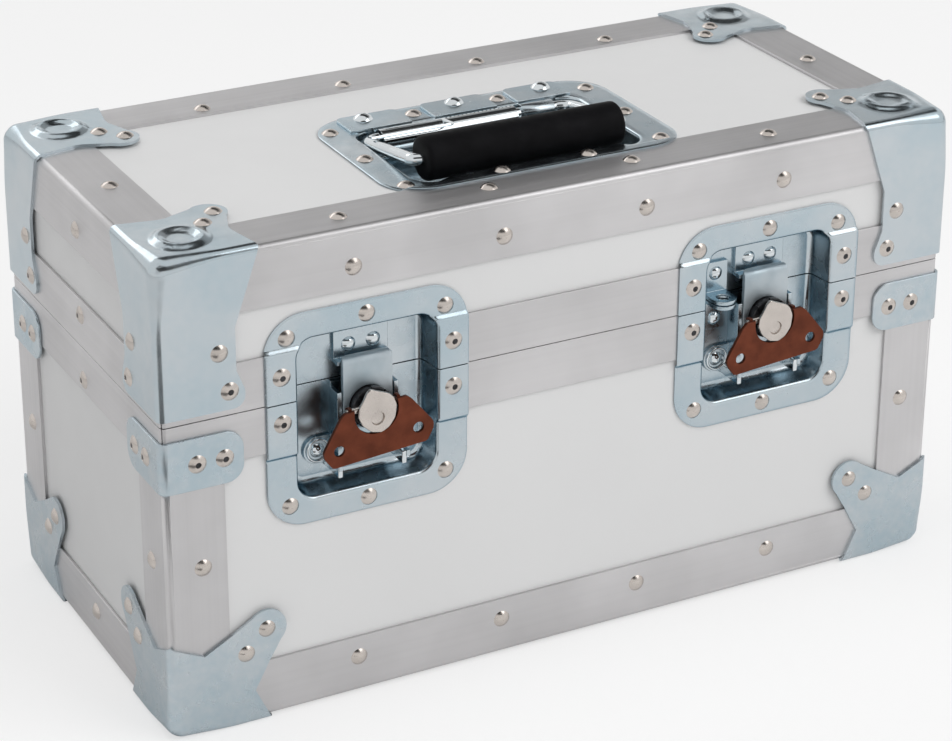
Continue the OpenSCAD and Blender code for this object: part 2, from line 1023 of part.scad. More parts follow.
// Claw: a plate with a slot for the hub's boss and a hook over the keeper's ledge
claw_gap = 1;
hook_gap = 0.2;
hook_t = 1.8;
hook_reach = 3;
slot_gap = 0.4;
slot_rim = 2.5;
claw_back = dish_floor - keeper_reach - claw_gap;
claw_top = keeper_low + keeper_t + hook_gap + hook_t;
slot_r = boss_r + slot_gap;
claw_low = hub_drop + claw_lift + slot_r + slot_rim;

module claw(side) {
    color(zinc)
        at_mechanism(side)
            union() {
                slab(claw_back - claw_t, claw_back)
                    difference() {
                        translate([-claw_w / 2, -claw_low])
                            square([claw_w, claw_low + claw_top]);
                        translate([0, -hub_drop])
                            circle(r = slot_r);
                        translate([0, -hub_drop - claw_lift])
                            circle(r = slot_r);
                        translate([-slot_r, -hub_drop - claw_lift])
                            square([2 * slot_r, claw_lift]);
                    }
                box([-claw_w / 2, claw_back - claw_t, claw_top - hook_t],
                    [claw_w / 2, claw_back + hook_reach, claw_top]);
            }
}

// Base plate on the base's half of the dish: a floor, two channel walls, rivet ears and two wing rests
plate_t = 1.6;
plate_half_w = 15.8;
plate_top = 1;
plate_low = 42;
channel_t = 2.4;
channel_top = 4;
channel_low = 38;
ear_half_w = 30;
ear_h = 14;
ear_r = 6.9;
rest_x = 17.5;
rest_w = 2;
rest_low = 41;
rest_h = 3;
rest_y = 1.5;
plate_rivet_x = 23;
plate_rivet_z = 35;

module base_plate(side) {
    color(zinc)
        at_mechanism(side)
            difference() {
                union() {
                    box([-plate_half_w, dish_floor - plate_t, -plate_low],
                        [plate_half_w, dish_floor, -plate_top]);
                    slab(dish_floor - plate_t, dish_floor)
                        round_rect([-ear_half_w, -plate_low], [ear_half_w, -plate_low + ear_h], ear_r);
                    for (m = [0, 1])
                        mirror([m, 0, 0]) {
                            box([plate_half_w - channel_t, claw_back - claw_t, -channel_low],
                                [plate_half_w, dish_floor, -channel_top]);
                            box([rest_x - rest_w / 2, -rest_y, -rest_low],
                                [rest_x + rest_w / 2, dish_floor, -rest_low + rest_h]);
                        }
                }
                slab(dish_floor - plate_t - over, dish_floor + over)
                    translate([0, -hub_drop])
                        circle(r = spindle_r + run_gap);
            }
}

// Hub: a pear-shaped cap, a boss that drives the claw, and a spindle in the base plate
cap_y = 3;
cap_tip = 12;
dimple_r = 2.75;
dimple_drop = 3.4;
dimple_depth = 0.6;
end_gap = 0.3;
pin_y = -0.4;
pin_up = 1.5;
notch_r = 11.4;
ear_in = 11.6;
ear_out = 13.2;
pin_half_l = 13.9;
ear_wall = 1;
cap_lean = acos(cap_r / cap_tip);

module at_hub(side) {
    at_mechanism(side)
        translate([0, 0, -hub_drop])
            rotate([0, -wing_lean, 0])
                children();
}

module wing_axis(r, half_l) {
    translate([0, pin_y, pin_up])
        rotate([0, 90, 0])
            cylinder(r = r, h = 2 * half_l, center = true);
}

module hub(side) {
    boss_end = dish_floor - plate_t - end_gap;
    color(nickel)
        at_hub(side)
            difference() {
                union() {
                    slab(-cap_y - cap_t, -cap_y) {
                        circle(r = cap_r);
                        polygon([[-cap_r * sin(cap_lean), cap_r * cos(cap_lean)],
                            [cap_r * sin(cap_lean), cap_r * cos(cap_lean)], [0, cap_tip]]);
                    }
                    slab(-cap_y - eps, boss_end)
                        circle(r = boss_r);
                    slab(boss_end - eps, dish_floor - end_gap)
                        circle(r = spindle_r);
                }
                slab(-cap_y - cap_t - over, -cap_y - cap_t + dimple_depth)
                    translate([0, -dimple_drop])
                        circle(r = dimple_r);
                wing_axis(wing_pin_r + run_gap, cap_r);
            }
}

module wing_pin(side) {
    color(nickel)
        at_hub(side)
            wing_axis(wing_pin_r, pin_half_l);
}

// Wing: a folding butterfly plate that swings on the hub's cross pin
wing_back = 2.4;
wing_shares = [[0.36, 0.143], [0.561, 0.143], [0.649, 0.043], [0.955, -0.51], [0.992, -0.59],
    [1, -0.67], [0.985, -0.75], [0.895, -0.93], [0.87, -0.975], [0.82, -1]];
wing_hole_shares = [0.72, -0.643];

function wing_point(p, side) = [side * p[0] * wing_w / 2, p[1] * wing_drop];

module wing_outline() {
    n = len(wing_shares);
    polygon(concat([for (i = [0 : n - 1]) wing_point(wing_shares[i], 1)],
        [for (i = [0 : n - 1]) wing_point(wing_shares[n - 1 - i], -1)]));
}

module wing(side) {
    color(copper)
        at_hub(side)
            difference() {
                union() {
                    slab(-wing_back - wing_t, -wing_back)
                        difference() {
                            wing_outline();
                            circle(r = notch_r);
                            for (x = [-1, 1])
                                translate(wing_point(wing_hole_shares, x))
                                    circle(r = wing_hole_d / 2);
                        }
                    for (m = [0, 1])
                        mirror([m, 0, 0]) {
                            translate([ear_in, pin_y, pin_up])
                                rotate([0, 90, 0])
                                    cylinder(r = wing_pin_r + ear_wall, h = ear_out - ear_in);
                            box([ear_in, -wing_back - eps, pin_up - wing_pin_r - ear_wall],
                                [ear_out, pin_y, pin_up + wing_pin_r + ear_wall]);
                        }
                }
                wing_axis(wing_pin_r + run_gap, wing_w);
            }
}

// Padlock eye, in two halves that meet at the parting line on the right latch
eye_x = -23;
eye_half_w = 7;
eye_plate_low = 1;
eye_plate_high = 18;
eye_t = 2;
eye_front = 4.5;
eye_gap = 0.3;
eye_rivet_z = 12;

module padlock_eye() {
    color(zinc)
        at_latch(1)
            translate([eye_x, 0, 0])
                union() {
                    box([-eye_half_w, dish_floor - eye_t, eye_plate_low],
                        [eye_half_w, dish_floor, eye_plate_high]);
                    translate([0, 0, eye_gap])
                        linear_extrude(height = eye_t)
                            difference() {
                                union() {
                                    translate([0, eye_front])
                                        circle(r = eye_w / 2);
                                    translate([-eye_w / 2, eye_front])
                                        square([eye_w, dish_floor - eye_front]);
                                }
                                translate([0, eye_front])
                                    circle(r = eye_hole_r);
                            }
                }
}

module upper_padlock_eye() {
    padlock_eye();
}

module lower_padlock_eye() {
    translate([0, 0, 2 * part_z])
        mirror([0, 0, 1])
            padlock_eye();
}

// Handle, in a dish in the lid's top
strip_front = 10.5;
front_lap = 5.5;
lap_gap = 0.3;
dish_cx = -1;
bay_cx = -3;
flange_left = dish_cx - grip_dish_w / 2;
flange_right = dish_cx + grip_dish_w / 2;
flange_front = -case_d / 2 + edge_w - front_lap;
flange_back = flange_front + grip_dish_d;
bay_left = bay_cx - grip_bay_w / 2;
bay_right = bay_cx + grip_bay_w / 2;
bay_front = flange_front + strip_front;
bay_back = bay_front + grip_bay_d;
lap_y = -case_d / 2 + edge_w + lap_gap;
lap_left = bay_left + grip_bay_r - dish_t;
lap_right = bay_right - grip_bay_r + dish_t;
flange_z = top_z - edge_t + dish_t;
pan_floor_z = top_z - edge_t - grip_bay_depth;

module grip_bay_outline(grow) {
    round_rect([bay_left - grow, bay_front - grow], [bay_right + grow, bay_back + grow], grip_bay_r + grow);
}

module grip_flange_outline() {
    round_rect([flange_left, flange_front], [flange_right, flange_back], grip_dish_r);
}

module layer(z0, z1) {
    translate([0, 0, z0])
        linear_extrude(height = z1 - z0)
            children();
}

// The flange lies on the panel and steps up over the front edge angle
module handle_dish() {
    color(zinc)
        difference() {
            union() {
                layer(top_z - edge_t, flange_z)
                    difference() {
                        grip_flange_outline();
                        translate([flange_left - over, lap_y - grip_dish_d])
                            square([grip_dish_w + 2 * over, grip_dish_d]);
                        translate([lap_left + dish_t, lap_y - over])
                            square([lap_right - lap_left - 2 * dish_t, bay_front - dish_t - lap_y + over]);
                    }
                layer(top_z, top_z + dish_t)
                    intersection() {
                        grip_flange_outline();
                        translate([lap_left, flange_front])
                            square([lap_right - lap_left, strip_front]);
                    }
                layer(top_z - edge_t, top_z + dish_t) {
                    translate([lap_left, bay_front - dish_t])
                        square([lap_right - lap_left, dish_t]);
                    for (x = [lap_left, lap_right - dish_t])
                        translate([x, lap_y])
                            square([dish_t, bay_front - lap_y]);
                }
                layer(pan_floor_z - dish_t, flange_z)
                    grip_bay_outline(dish_t);
            }
            layer(pan_floor_z, top_z + over)
                grip_bay_outline(0);
        }
}

rivet_back = 16;
rivet_mid = 51;
rivet_front = 12;
corner_rivet_in = 2.4;
back_rivet_shares = [-0.444, 0.386];
front_rivet_shares = [-0.421, 0.404];
back_rivet_y = 10;

module handle_flange_rivets() {
    left_x = (flange_left + bay_left) / 2;
    right_x = (flange_right + bay_right) / 2;
    for (y = [flange_back - rivet_back, flange_front + rivet_mid])
        for (x = [left_x, right_x])
            translate([x, y, flange_z])
                solid_rivet();
    for (x = [left_x + corner_rivet_in, right_x - corner_rivet_in])
        translate([x, flange_front + rivet_front, flange_z])
            solid_rivet();
    for (share = back_rivet_shares)
        translate([share * half_span, bay_back + back_rivet_y, flange_z])
            solid_rivet();
    for (share = front_rivet_shares)
        translate([share * half_span, (flange_front + bay_front) / 2, top_z + dish_t])
            solid_rivet();
}

// Bracket: a web against the dish's back wall, three pads on its flange and two knuckles for the rod
bracket_t = 1.2;
handle_x = -4;
handle_back = 6.5;
handle_drop = 3.5;
handle_y = bay_back - handle_back;
handle_z = top_z - handle_drop;
pad_shares = [[-1.14, -0.553], [-0.333, 0.281], [0.491, 1.018]];
pads = [for (p = pad_shares) p * half_span];
pad_l = 19.5;
pad_r = 4;
pad_rivet_y = 13.5;
pad_rivet_shares = [-0.912, -0.026, 0.842];
knuckle_shares = [[-0.86, -0.368], [0.456, 0.772]];
knuckles = [for (k = knuckle_shares) k * half_span];
web_low = 10;
web_in = 11;
bridge_t = 2.5;

module handle_bracket() {
    color(zinc)
        difference() {
            union() {
                box([bay_left + web_in, bay_back - bracket_t, top_z - web_low],
                    [bay_right - web_in, bay_back, flange_z]);
                for (p = pads)
                    layer(flange_z, flange_z + bracket_t) {
                        round_rect([p[0], bay_back], [p[1], bay_back - bracket_t + pad_l], pad_r);
                        translate([p[0], bay_back - bracket_t])
                            square([p[1] - p[0], pad_l / 2]);
                    }
                for (k = knuckles) {
                    translate([k[0], handle_y, handle_z])
                        rotate([0, 90, 0])
                            cylinder(r = knuckle_r, h = k[1] - k[0]);
                    box([k[0], handle_y, handle_z - knuckle_r],
                        [k[1], bay_back - bracket_t + eps, handle_z - knuckle_r + bridge_t]);
                }
            }
            translate([handle_x, handle_y, handle_z])
                rotate([0, 90, 0])
                    cylinder(r = rod_r + run_gap, h = 2 * rod_span, center = true);
        }
}

// The handle's own frame: pivot along X through the origin, arms along -Y
module at_handle() {
    translate([handle_x, handle_y, handle_z])
        rotate([-handle_tilt, 0, 0])
            children();
}

pivot_bend_r = 8;

module rod_bend(x, y, r, turn) {
    translate([x, y, 0])
        rotate([0, 0, turn])
            rotate_extrude(angle = 90)
                translate([r, 0])
                    circle(r = rod_r);
}

module rod_along_x(y, half_l) {
    translate([0, y, 0])
        rotate([0, 90, 0])
            cylinder(r = rod_r, h = 2 * half_l, center = true);
}

module handle_rod() {
    arm_end = -arm_l + grip_bend_r;
    color(nickel)
        at_handle()
            union() {
                rod_along_x(0, half_span - pivot_bend_r);
                rod_along_x(-arm_l, half_span - grip_bend_r);
                for (x = [-half_span, half_span])
                    translate([x, -pivot_bend_r, 0])
                        rotate([90, 0, 0])
                            cylinder(r = rod_r, h = -arm_end - pivot_bend_r);
                rod_bend(half_span - pivot_bend_r, -pivot_bend_r, pivot_bend_r, 0);
                rod_bend(-half_span + pivot_bend_r, -pivot_bend_r, pivot_bend_r, 90);
                rod_bend(-half_span + grip_bend_r, arm_end, grip_bend_r, 180);
                rod_bend(half_span - grip_bend_r, arm_end, grip_bend_r, 270);
            }
}

grip_edge_r = 2;

module handle_grip() {
    color(black)
        at_handle()
            translate([0, -arm_l, 0])
                rotate([0, 90, 0])
                    rotate_extrude()
                        difference() {
                            union() {
                                translate([0, -grip_l / 2])
                                    square([grip_r - grip_edge_r, grip_l]);
                                translate([0, -grip_l / 2 + grip_edge_r])
                                    square([grip_r, grip_l - 2 * grip_edge_r]);
                                for (z = [-1, 1])
                                    translate([grip_r - grip_edge_r, z * (grip_l / 2 - grip_edge_r)])
                                        circle(r = grip_edge_r);
                            }
                            translate([0, -grip_l])
                                square([rod_r, 2 * grip_l]);
                        }
}

// Return spring: one wire with a short leg, a coil round the rod and a long leg over the left arm
coil_rod_gap = 0.2;
coil_r = rod_r + coil_rod_gap + spring_wire / 2;
coil_end_gap = 4;
coil_last_gap = 3.5;
coil_from = knuckles[1][0] - handle_x - coil_end_gap;
coil_limit = knuckles[0][1] - handle_x + coil_last_gap;
coil_turns = floor((coil_from - coil_limit) / spring_pitch - 0.5);
coil_steps = 8;
wire_sides = 6;
short_leg = 4;
leg_out = 14;
leg_bend = 2;
coil_to = coil_from - (coil_turns + 0.5) * spring_pitch;

function coil_at(t) = [coil_from - t * spring_pitch, coil_r * sin(360 * t), -coil_r * cos(360 * t)];
function coil_way(t) = [-spring_pitch / (2 * PI * coil_r), cos(360 * t), sin(360 * t)];
function unit(v) = v / norm(v);

// Each ring of the wire: its centre, then two directions across the wire
coil_rings = [for (i = [0 : coil_turns * coil_steps + coil_steps / 2])
    let (t = i / coil_steps, way = unit(coil_way(t)), side = unit([1, 0, 0] - way * way[0]))
    [coil_at(t), side, cross(side, way)]];
leg_start = [[[coil_from + spring_pitch / 4, -short_leg, -coil_r], [1, 0, 0], [0, 0, 1]]];
leg_end = [
    [[coil_to - spring_pitch / 4, -leg_out + leg_bend, coil_r], [1, 0, 0], [0, 0, -1]],
    [[coil_to - leg_bend / 2, -leg_out + leg_bend / 3, coil_r], unit([1, -1, 0]), [0, 0, -1]],
    [[coil_to - spring_pitch / 4 - leg_bend, -leg_out, coil_r], [0, -1, 0], [0, 0, -1]],
    [[-half_span - rod_r / 2, -leg_out, coil_r], [0, -1, 0], [0, 0, -1]]
];
wire_rings = concat(leg_start, coil_rings, leg_end);
wire_points = [for (ring = wire_rings)
    for (k = [0 : wire_sides - 1])
        let (a = 360 * k / wire_sides)
        ring[0] + spring_wire / 2 * (ring[1] * cos(a) + ring[2] * sin(a))];
wire_count = len(wire_rings);
wire_faces = concat(
    [[for (k = [0 : wire_sides - 1]) wire_sides - 1 - k]],
    [for (i = [0 : wire_count - 2])
        for (k = [0 : wire_sides - 1])
            let (a = i * wire_sides + k, b = i * wire_sides + (k + 1) % wire_sides)
            each [[a, b + wire_sides, a + wire_sides], [a, b, b + wire_sides]]],
    [[for (k = [0 : wire_sides - 1]) (wire_count - 1) * wire_sides + k]]);

module handle_spring() {
    centres = [for (ring = wire_rings) ring[0]];
    near = min([for (i = [0 : wire_count - 1])
        for (j = [i + coil_steps - 2 : 1 : wire_count - 1])
            norm(centres[i] - centres[j])]);
    echo(spring_least_gap = near - spring_wire);
    color(nickel)
        at_handle()
            polyhedron(points = wire_points, faces = wire_faces, convexity = 10);
}

// Small domed rivets

module base_small_rivets() {
    color(nickel) {
        for (side = [-1, 1])
            at_mechanism(side)
                for (x = [-plate_rivet_x, plate_rivet_x])
                    face_front(x, dish_floor - plate_t, -plate_rivet_z)
                        small_rivet();
        at_latch(1)
            face_front(eye_x, dish_floor - eye_t, -eye_rivet_z)
                small_rivet();
    }
}

pad_rivet_d = 10;
pad_rivet_h = 2.8;

module lid_small_rivets() {
    color(nickel) {
        for (side = [-1, 1])
            at_mechanism(side)
                for (x = [-keeper_rivet_x, keeper_rivet_x])
                    face_front(x, dish_floor - keeper_t, keeper_rivet_z)
                        small_rivet();
        at_latch(1)
            face_front(eye_x, dish_floor - eye_t, eye_rivet_z)
                small_rivet();
        for (share = pad_rivet_shares)
            translate([share * half_span, bay_back - bracket_t + pad_rivet_y, flange_z + bracket_t])
                dome(pad_rivet_d, pad_rivet_h);
    }
}

// Hinges at the back

hinge_clear = 0.3;
lid_knuckle = hinge_w / 6 - hinge_clear;
base_knuckle = hinge_w / 6;
notch_h = hinge_knuckle_r + hinge_clear;

module at_hinges() {
    for (side = [-1, 1])
        translate([side * hinge_spacing / 2, case_d / 2, part_z])
            children();
}

module hinge_bore() {
    translate([0, hinge_knuckle_r, 0])
        rotate([0, 90, 0])
            cylinder(r = hinge_pin_r + run_gap, h = 2 * hinge_w, center = true);
}

module hinge_barrel(x0, x1) {
    translate([x0, hinge_knuckle_r, 0])
        rotate([0, 90, 0])
            cylinder(r = hinge_knuckle_r, h = x1 - x0);
}

module hinge_base_leaves() {
    color(zinc)
        at_hinges()
            difference() {
                union() {
                    box([-hinge_w / 2, 0, -hinge_h], [hinge_w / 2, hinge_t, -notch_h]);
                    for (m = [0, 1])
                        mirror([m, 0, 0]) {
                            box([base_knuckle, 0, -notch_h - eps], [hinge_w / 2, hinge_t, 0]);
                            hinge_barrel(base_knuckle, hinge_w / 2);
                        }
                }
                hinge_bore();
            }
}

module hinge_lid_leaves() {
    color(zinc)
        at_hinges()
            difference() {
                union() {
                    box([-hinge_w / 2, 0, notch_h], [hinge_w / 2, hinge_t, hinge_h]);
                    box([-lid_knuckle, 0, 0], [lid_knuckle, hinge_t, notch_h + eps]);
                    hinge_barrel(-lid_knuckle, lid_knuckle);
                }
                hinge_bore();
            }
}

module hinge_pins() {
    color(nickel)
        at_hinges()
            translate([0, hinge_knuckle_r, 0])
                rotate([0, 90, 0])
                    cylinder(r = hinge_pin_r, h = hinge_w, center = true);
}

// Foam, cut in blocks and layers that are glued together

foam_x = case_w / 2 - wall - foam_gap;
foam_y = case_d / 2 - wall - foam_gap;
foam_part_gap = 1;
glue_gap = 0.3;
foam_web = 4;
lens_z = part_z - lens_axis_drop;
bay_end = foam_x - foam_end_t;
dish_room = dish_t + foam_gap;
facing_back = -case_d / 2 + dish_back + foam_gap;
pocket_x = bay_w / 2 + dish_room;
base_foam_low = floor_z + skin;
base_foam_high = part_z - foam_part_gap;
lid_foam_low = part_z + foam_part_gap;
lid_foam_high = top_z - skin;
pan_room_z = pan_floor_z - dish_room;

module lens_space() {
    translate([0, 0, lens_z])
        rotate([0, 90, 0])
            cylinder(r = lens_bay_r, h = 2 * bay_end, center = true, $fn = 96);
}

// The layer against the front panel: a strip right across, and posts between the backs of the latch dishes
module foam_facing(strip, posts) {
    middle = latch_spacing / 2 - pocket_x;
    outer = latch_spacing / 2 + pocket_x;
    front = facing_back - glue_gap;
    box([-foam_x, -foam_y, strip[0]], [foam_x, front, strip[1]]);
    for (x = [[-foam_x, -outer], [-middle, middle], [outer, foam_x]])
        box([x[0], -foam_y, posts[0]], [x[1], front, posts[1]]);
}

module foam_ends(z0, z1) {
    for (side = [0, 1])
        mirror([side, 0, 0])
            box([bay_end, facing_back, z0], [foam_x, foam_y, z1]);
}

module foam_middle(y0, y1, z0, z1) {
    box([-bay_end + glue_gap, y0, z0], [bay_end - glue_gap, y1, z1]);
}

module base_foam() {
    window_low = part_z - bay_down - dish_room;
    color(foam_grey) {
        foam_facing([base_foam_low, window_low], [window_low + glue_gap, base_foam_high]);
        foam_ends(base_foam_low, base_foam_high);
        foam_middle(facing_back, -lens_bay_r, lens_z + glue_gap, base_foam_high);
        foam_middle(lens_bay_r, foam_y, lens_z + glue_gap, base_foam_high);
        difference() {
            foam_middle(facing_back, foam_y, base_foam_low, lens_z);
            lens_space();
        }
    }
}

module lid_foam() {
    window_high = part_z + bay_up + dish_room;
    layer_z = lens_z + lens_bay_r + foam_web;
    color(foam_grey) {
        foam_facing([window_high, lid_foam_high], [lid_foam_low, window_high - glue_gap]);
        foam_ends(lid_foam_low, pan_room_z - glue_gap);
        difference() {
            foam_middle(facing_back, foam_y, lid_foam_low, layer_z);
            lens_space();
        }
        foam_middle(facing_back, foam_y, layer_z + glue_gap, pan_room_z - glue_gap);
        pan_surround();
    }
}

// The top layer, in four lengths round the handle dish
module pan_surround() {
    left = bay_left - dish_room;
    right = bay_right + dish_room;
    box([-foam_x, facing_back, pan_room_z], [left, foam_y, lid_foam_high]);
    box([right, facing_back, pan_room_z], [foam_x, foam_y, lid_foam_high]);
    for (y = [[facing_back, bay_front - dish_room], [bay_back + dish_room, foam_y]])
        box([left + glue_gap, y[0], pan_room_z], [right - glue_gap, y[1], lid_foam_high]);
}

base_front_panel();
base_back_panel();
base_side_panel();  // base_left_panel
mirror([1, 0, 0]) base_side_panel();  // base_right_panel
base_bottom_panel();
base_posts();
bottom_edge_front();
bottom_edge_back();
bottom_edge_left();
bottom_edge_right();
base_rim();
bottom_corners();
rim_braces();
base_foam();
base_rivets();
base_blind_rivets();
base_small_rivets();
hinge_base_leaves();
hinge_pins();
lower_dish(-1);  // left_lower_dish
base_plate(-1);  // left_base_plate
claw(-1);  // left_claw
hub(-1);  // left_hub
wing_pin(-1);  // left_wing_pin
wing(-1);  // left_wing
lower_dish(1);  // right_lower_dish
base_plate(1);  // right_base_plate
claw(1);  // right_claw
hub(1);  // right_hub
wing_pin(1);  // right_wing_pin
wing(1);  // right_wing
lower_padlock_eye();
lid_front_panel();
lid_back_panel();
lid_side_panel();  // lid_left_panel
mirror([1, 0, 0]) lid_side_panel();  // lid_right_panel
lid_top_panel();
lid_posts();
top_edge_front();
top_edge_back();
top_edge_left();
top_edge_right();
lid_rim();
lid_corners();
lid_foam();
lid_rivets();
lid_blind_rivets();
lid_small_rivets();
hinge_lid_leaves();
upper_dish(-1);  // left_upper_dish
keeper(-1);  // left_keeper
upper_dish(1);  // right_upper_dish
keeper(1);  // right_keeper
upper_padlock_eye();
handle_dish();
handle_bracket();
handle_rod();
handle_grip();
handle_spring();
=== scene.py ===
import math

import bmesh
import bpy
from bpy.props import FloatProperty, FloatVectorProperty, PointerProperty
from mathutils import Matrix, Vector


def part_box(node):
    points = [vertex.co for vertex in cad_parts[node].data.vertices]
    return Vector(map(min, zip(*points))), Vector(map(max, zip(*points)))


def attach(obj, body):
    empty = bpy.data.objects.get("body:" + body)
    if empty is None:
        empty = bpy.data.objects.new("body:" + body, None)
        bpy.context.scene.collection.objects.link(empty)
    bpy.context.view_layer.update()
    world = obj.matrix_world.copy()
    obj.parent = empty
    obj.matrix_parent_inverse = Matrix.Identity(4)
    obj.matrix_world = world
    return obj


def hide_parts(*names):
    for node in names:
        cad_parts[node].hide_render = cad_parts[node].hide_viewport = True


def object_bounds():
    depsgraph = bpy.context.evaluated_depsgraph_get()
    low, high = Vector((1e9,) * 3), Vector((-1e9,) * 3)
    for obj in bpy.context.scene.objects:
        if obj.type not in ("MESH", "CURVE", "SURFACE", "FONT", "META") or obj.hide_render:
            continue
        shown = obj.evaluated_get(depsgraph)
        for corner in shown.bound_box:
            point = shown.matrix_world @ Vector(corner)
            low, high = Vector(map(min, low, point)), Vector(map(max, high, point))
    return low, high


bl_info = {
    "name": "Telephoto lens case",
    "version": (1, 0, 0),
    "blender": (4, 5, 0),
    "location": "View3D > Sidebar > Lens case",
    "description": "Dresses the riveted lens case and sets up its studio",
    "category": "Object",
}

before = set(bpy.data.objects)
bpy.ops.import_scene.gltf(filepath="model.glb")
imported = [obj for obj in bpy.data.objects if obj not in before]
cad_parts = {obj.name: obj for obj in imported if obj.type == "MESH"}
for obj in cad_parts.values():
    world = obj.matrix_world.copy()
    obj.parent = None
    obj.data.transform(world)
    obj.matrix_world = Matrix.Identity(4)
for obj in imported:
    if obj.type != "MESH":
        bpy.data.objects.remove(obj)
CAD_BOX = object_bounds()
MM = 0.001
CASE_CENTRE = (CAD_BOX[0] + CAD_BOX[1]) / 2
WELD_DISTANCE = 0.002 * MM
KEPT_CREASE = math.radians(40)

# How far the edge angles and rims stand over the panels, and the thickness of the CAD part's dishes
RIM_RISE = 1.6 * MM
PLATE = 1.2 * MM


# Sizes and colours that a user would change

def length_property(name, description, millimetres):
    return FloatProperty(name=name, description=description, default=millimetres * MM, unit="LENGTH",
                         min=0)


def colour_property(name, description, colour):
    return FloatVectorProperty(name=name, description=description, default=colour, subtype="COLOR",
                               min=0, max=1)


def strength_property(name, description, value, unit="NONE"):
    return FloatProperty(name=name, description=description, default=value, unit=unit, min=0)


class CaseColours(bpy.types.PropertyGroup):
    laminate: colour_property("Laminate", "Colour of the white panels", (0.735, 0.735, 0.735))
    aluminium: colour_property("Aluminium", "Colour of the edge angles and rims", (0.62, 0.61, 0.615))
    zinc_light: colour_property("Zinc, light", "Palest tone of the zinc plating", (0.56, 0.61, 0.64))
    zinc_dark: colour_property("Zinc, deep", "Deepest tone of the zinc plating", (0.46, 0.55, 0.60))
    # Painted reflection: dark blue-green given to the latch dishes' faces seen at a slant, in place of the
    # dark surroundings they mirror
    zinc_painted_reflection: colour_property("Zinc, slanting", "Tone of the latch dishes' zinc seen at a slant",
                               (0.13, 0.27, 0.36))
    nickel: colour_property("Nickel", "Colour of the rivets and hubs", (0.60, 0.55, 0.51))
    bright: colour_property("Bright plating", "Colour of the polished rod and knuckles", (0.74, 0.78, 0.80))
    copper: colour_property("Wing", "Colour of the butterfly wings", (0.135, 0.036, 0.018))
    # The cam colours also paint the shade in the blind rivets' hollow noses, as dark buttons
    cam: colour_property("Cam", "Colour of the cams and the rivets' mandrels", (0.02, 0.02, 0.022))
    cam_dark: colour_property("Cam, dark", "Darkest tone of the cams", (0.012, 0.012, 0.013))
    cam_worn: colour_property("Cam, worn", "Palest tone of the cams", (0.05, 0.05, 0.055))
    rubber: colour_property("Grip", "Colour of the rubber grip", (0.0035, 0.0035, 0.004))
    foam: colour_property("Foam", "Colour of the foam inserts", (0.035, 0.036, 0.040))


class CaseSizes(bpy.types.PropertyGroup):
    panel_round: length_property("Panel edge", "Rounding along the panels' edges", 0.4)
    angle_round: length_property("Angle edge", "Rounding along the cut edges of the angles and rims", 0.3)
    steel_round: length_property("Steel edge", "Rounding along the edges of the pressed steel", 0.4)
    small_round: length_property("Small part edge", "Rounding along the edges of the latch parts", 0.25)
    wing_round: length_property("Wing edge", "Rounding of the wings, less than the lips beside their ears",
                                0.09)
    foam_round: length_property("Foam edge", "Rounding along the edges of the foam", 1.2)
    grip_radius: length_property("Grip radius", "Outer radius of the rubber grip", 11)


class CasePressings(bpy.types.PropertyGroup):
    sheet: length_property("Corner sheet", "Thickness of the corner pressings", 1.5)
    bend: length_property("Bend", "Outer radius of a corner's bends at the ends of its leaves", 3.8)
    vertex: length_property("Vertex", "Outer radius of a corner's bends where the three meet", 8)
    run_out: length_property("Run-out", "Length over which the vertex radius fades into the bend", 36)
    leaf: length_property("Leaf", "Length of a corner's leaves along the edges", 51.5)
    ring_radius: length_property("Ring", "Radius of the stacking ring's ridge", 10.3)
    ring_width: length_property("Ring width", "Half the width of the stacking ring's ridge", 4.6)
    ring_height: length_property("Ring height", "Height of the stacking ring's ridge", 1.8)
    dish_sheet: length_property("Dish sheet", "Thickness of the latch and handle dishes", 1.2)
    dish_fold: length_property("Dish fold", "Radius of the fold round a dish's opening", 1.9)
    dish_fillet: length_property("Dish fillet", "Radius between a dish's walls and its floor", 3.2)
    dish_draft: length_property("Dish draft", "How far a dish's walls lean in towards its floor", 1.0)
    joggle: length_property("Joggle", "Length of the step by which a flange climbs on an extrusion", 2.6)
    parting: length_property("Parting", "Half the gap between an upper and a lower dish", 0.3)


class CaseStudio(bpy.types.PropertyGroup):
    lens: FloatProperty(name="Lens", description="Focal length of the camera in millimetres",
                        default=109.15, min=1)
    ambient: strength_property("Ambient", "Strength of the surrounding light", 0.52)
    mirrored: strength_property("Mirrored", "Strength of the surroundings as reflections see them", 0.86)
    key: strength_property("Key", "Power of the large lamp at the front right", 38.0, "POWER")
    top: strength_property("Top", "Power of the lamp overhead", 8.5, "POWER")
    softbox: strength_property("Softbox", "Brightness of the softbox as reflections see it", 1.6)
    back_card: strength_property("Back card", "Brightness of the card behind the case's left side", 1.3)
    floor_glow: FloatProperty(name="Floor glow", default=0.6, min=0, max=1, subtype="FACTOR",
                              description="Share of plain white in the floor as the camera sees it")


# Materials

def new_material(name, colour, metallic, roughness):
    material = bpy.data.materials.new(name)
    material.use_nodes = True
    shader = material.node_tree.nodes["Principled BSDF"]
    shader.inputs["Base Color"].default_value = (*colour, 1)
    shader.inputs["Metallic"].default_value = metallic
    shader.inputs["Roughness"].default_value = roughness
    return material, shader


def add_node(material, kind, **values):
    """A node with its inputs set by name; names that start with a_ set attributes."""
    node = material.node_tree.nodes.new(kind)
    for key, value in values.items():
        if key.startswith("a_"):
            setattr(node, key[2:], value)
        else:
            node.inputs[key.replace("_", " ")].default_value = value
    return node


def wire(material, source, target):
    material.node_tree.links.new(source, target)


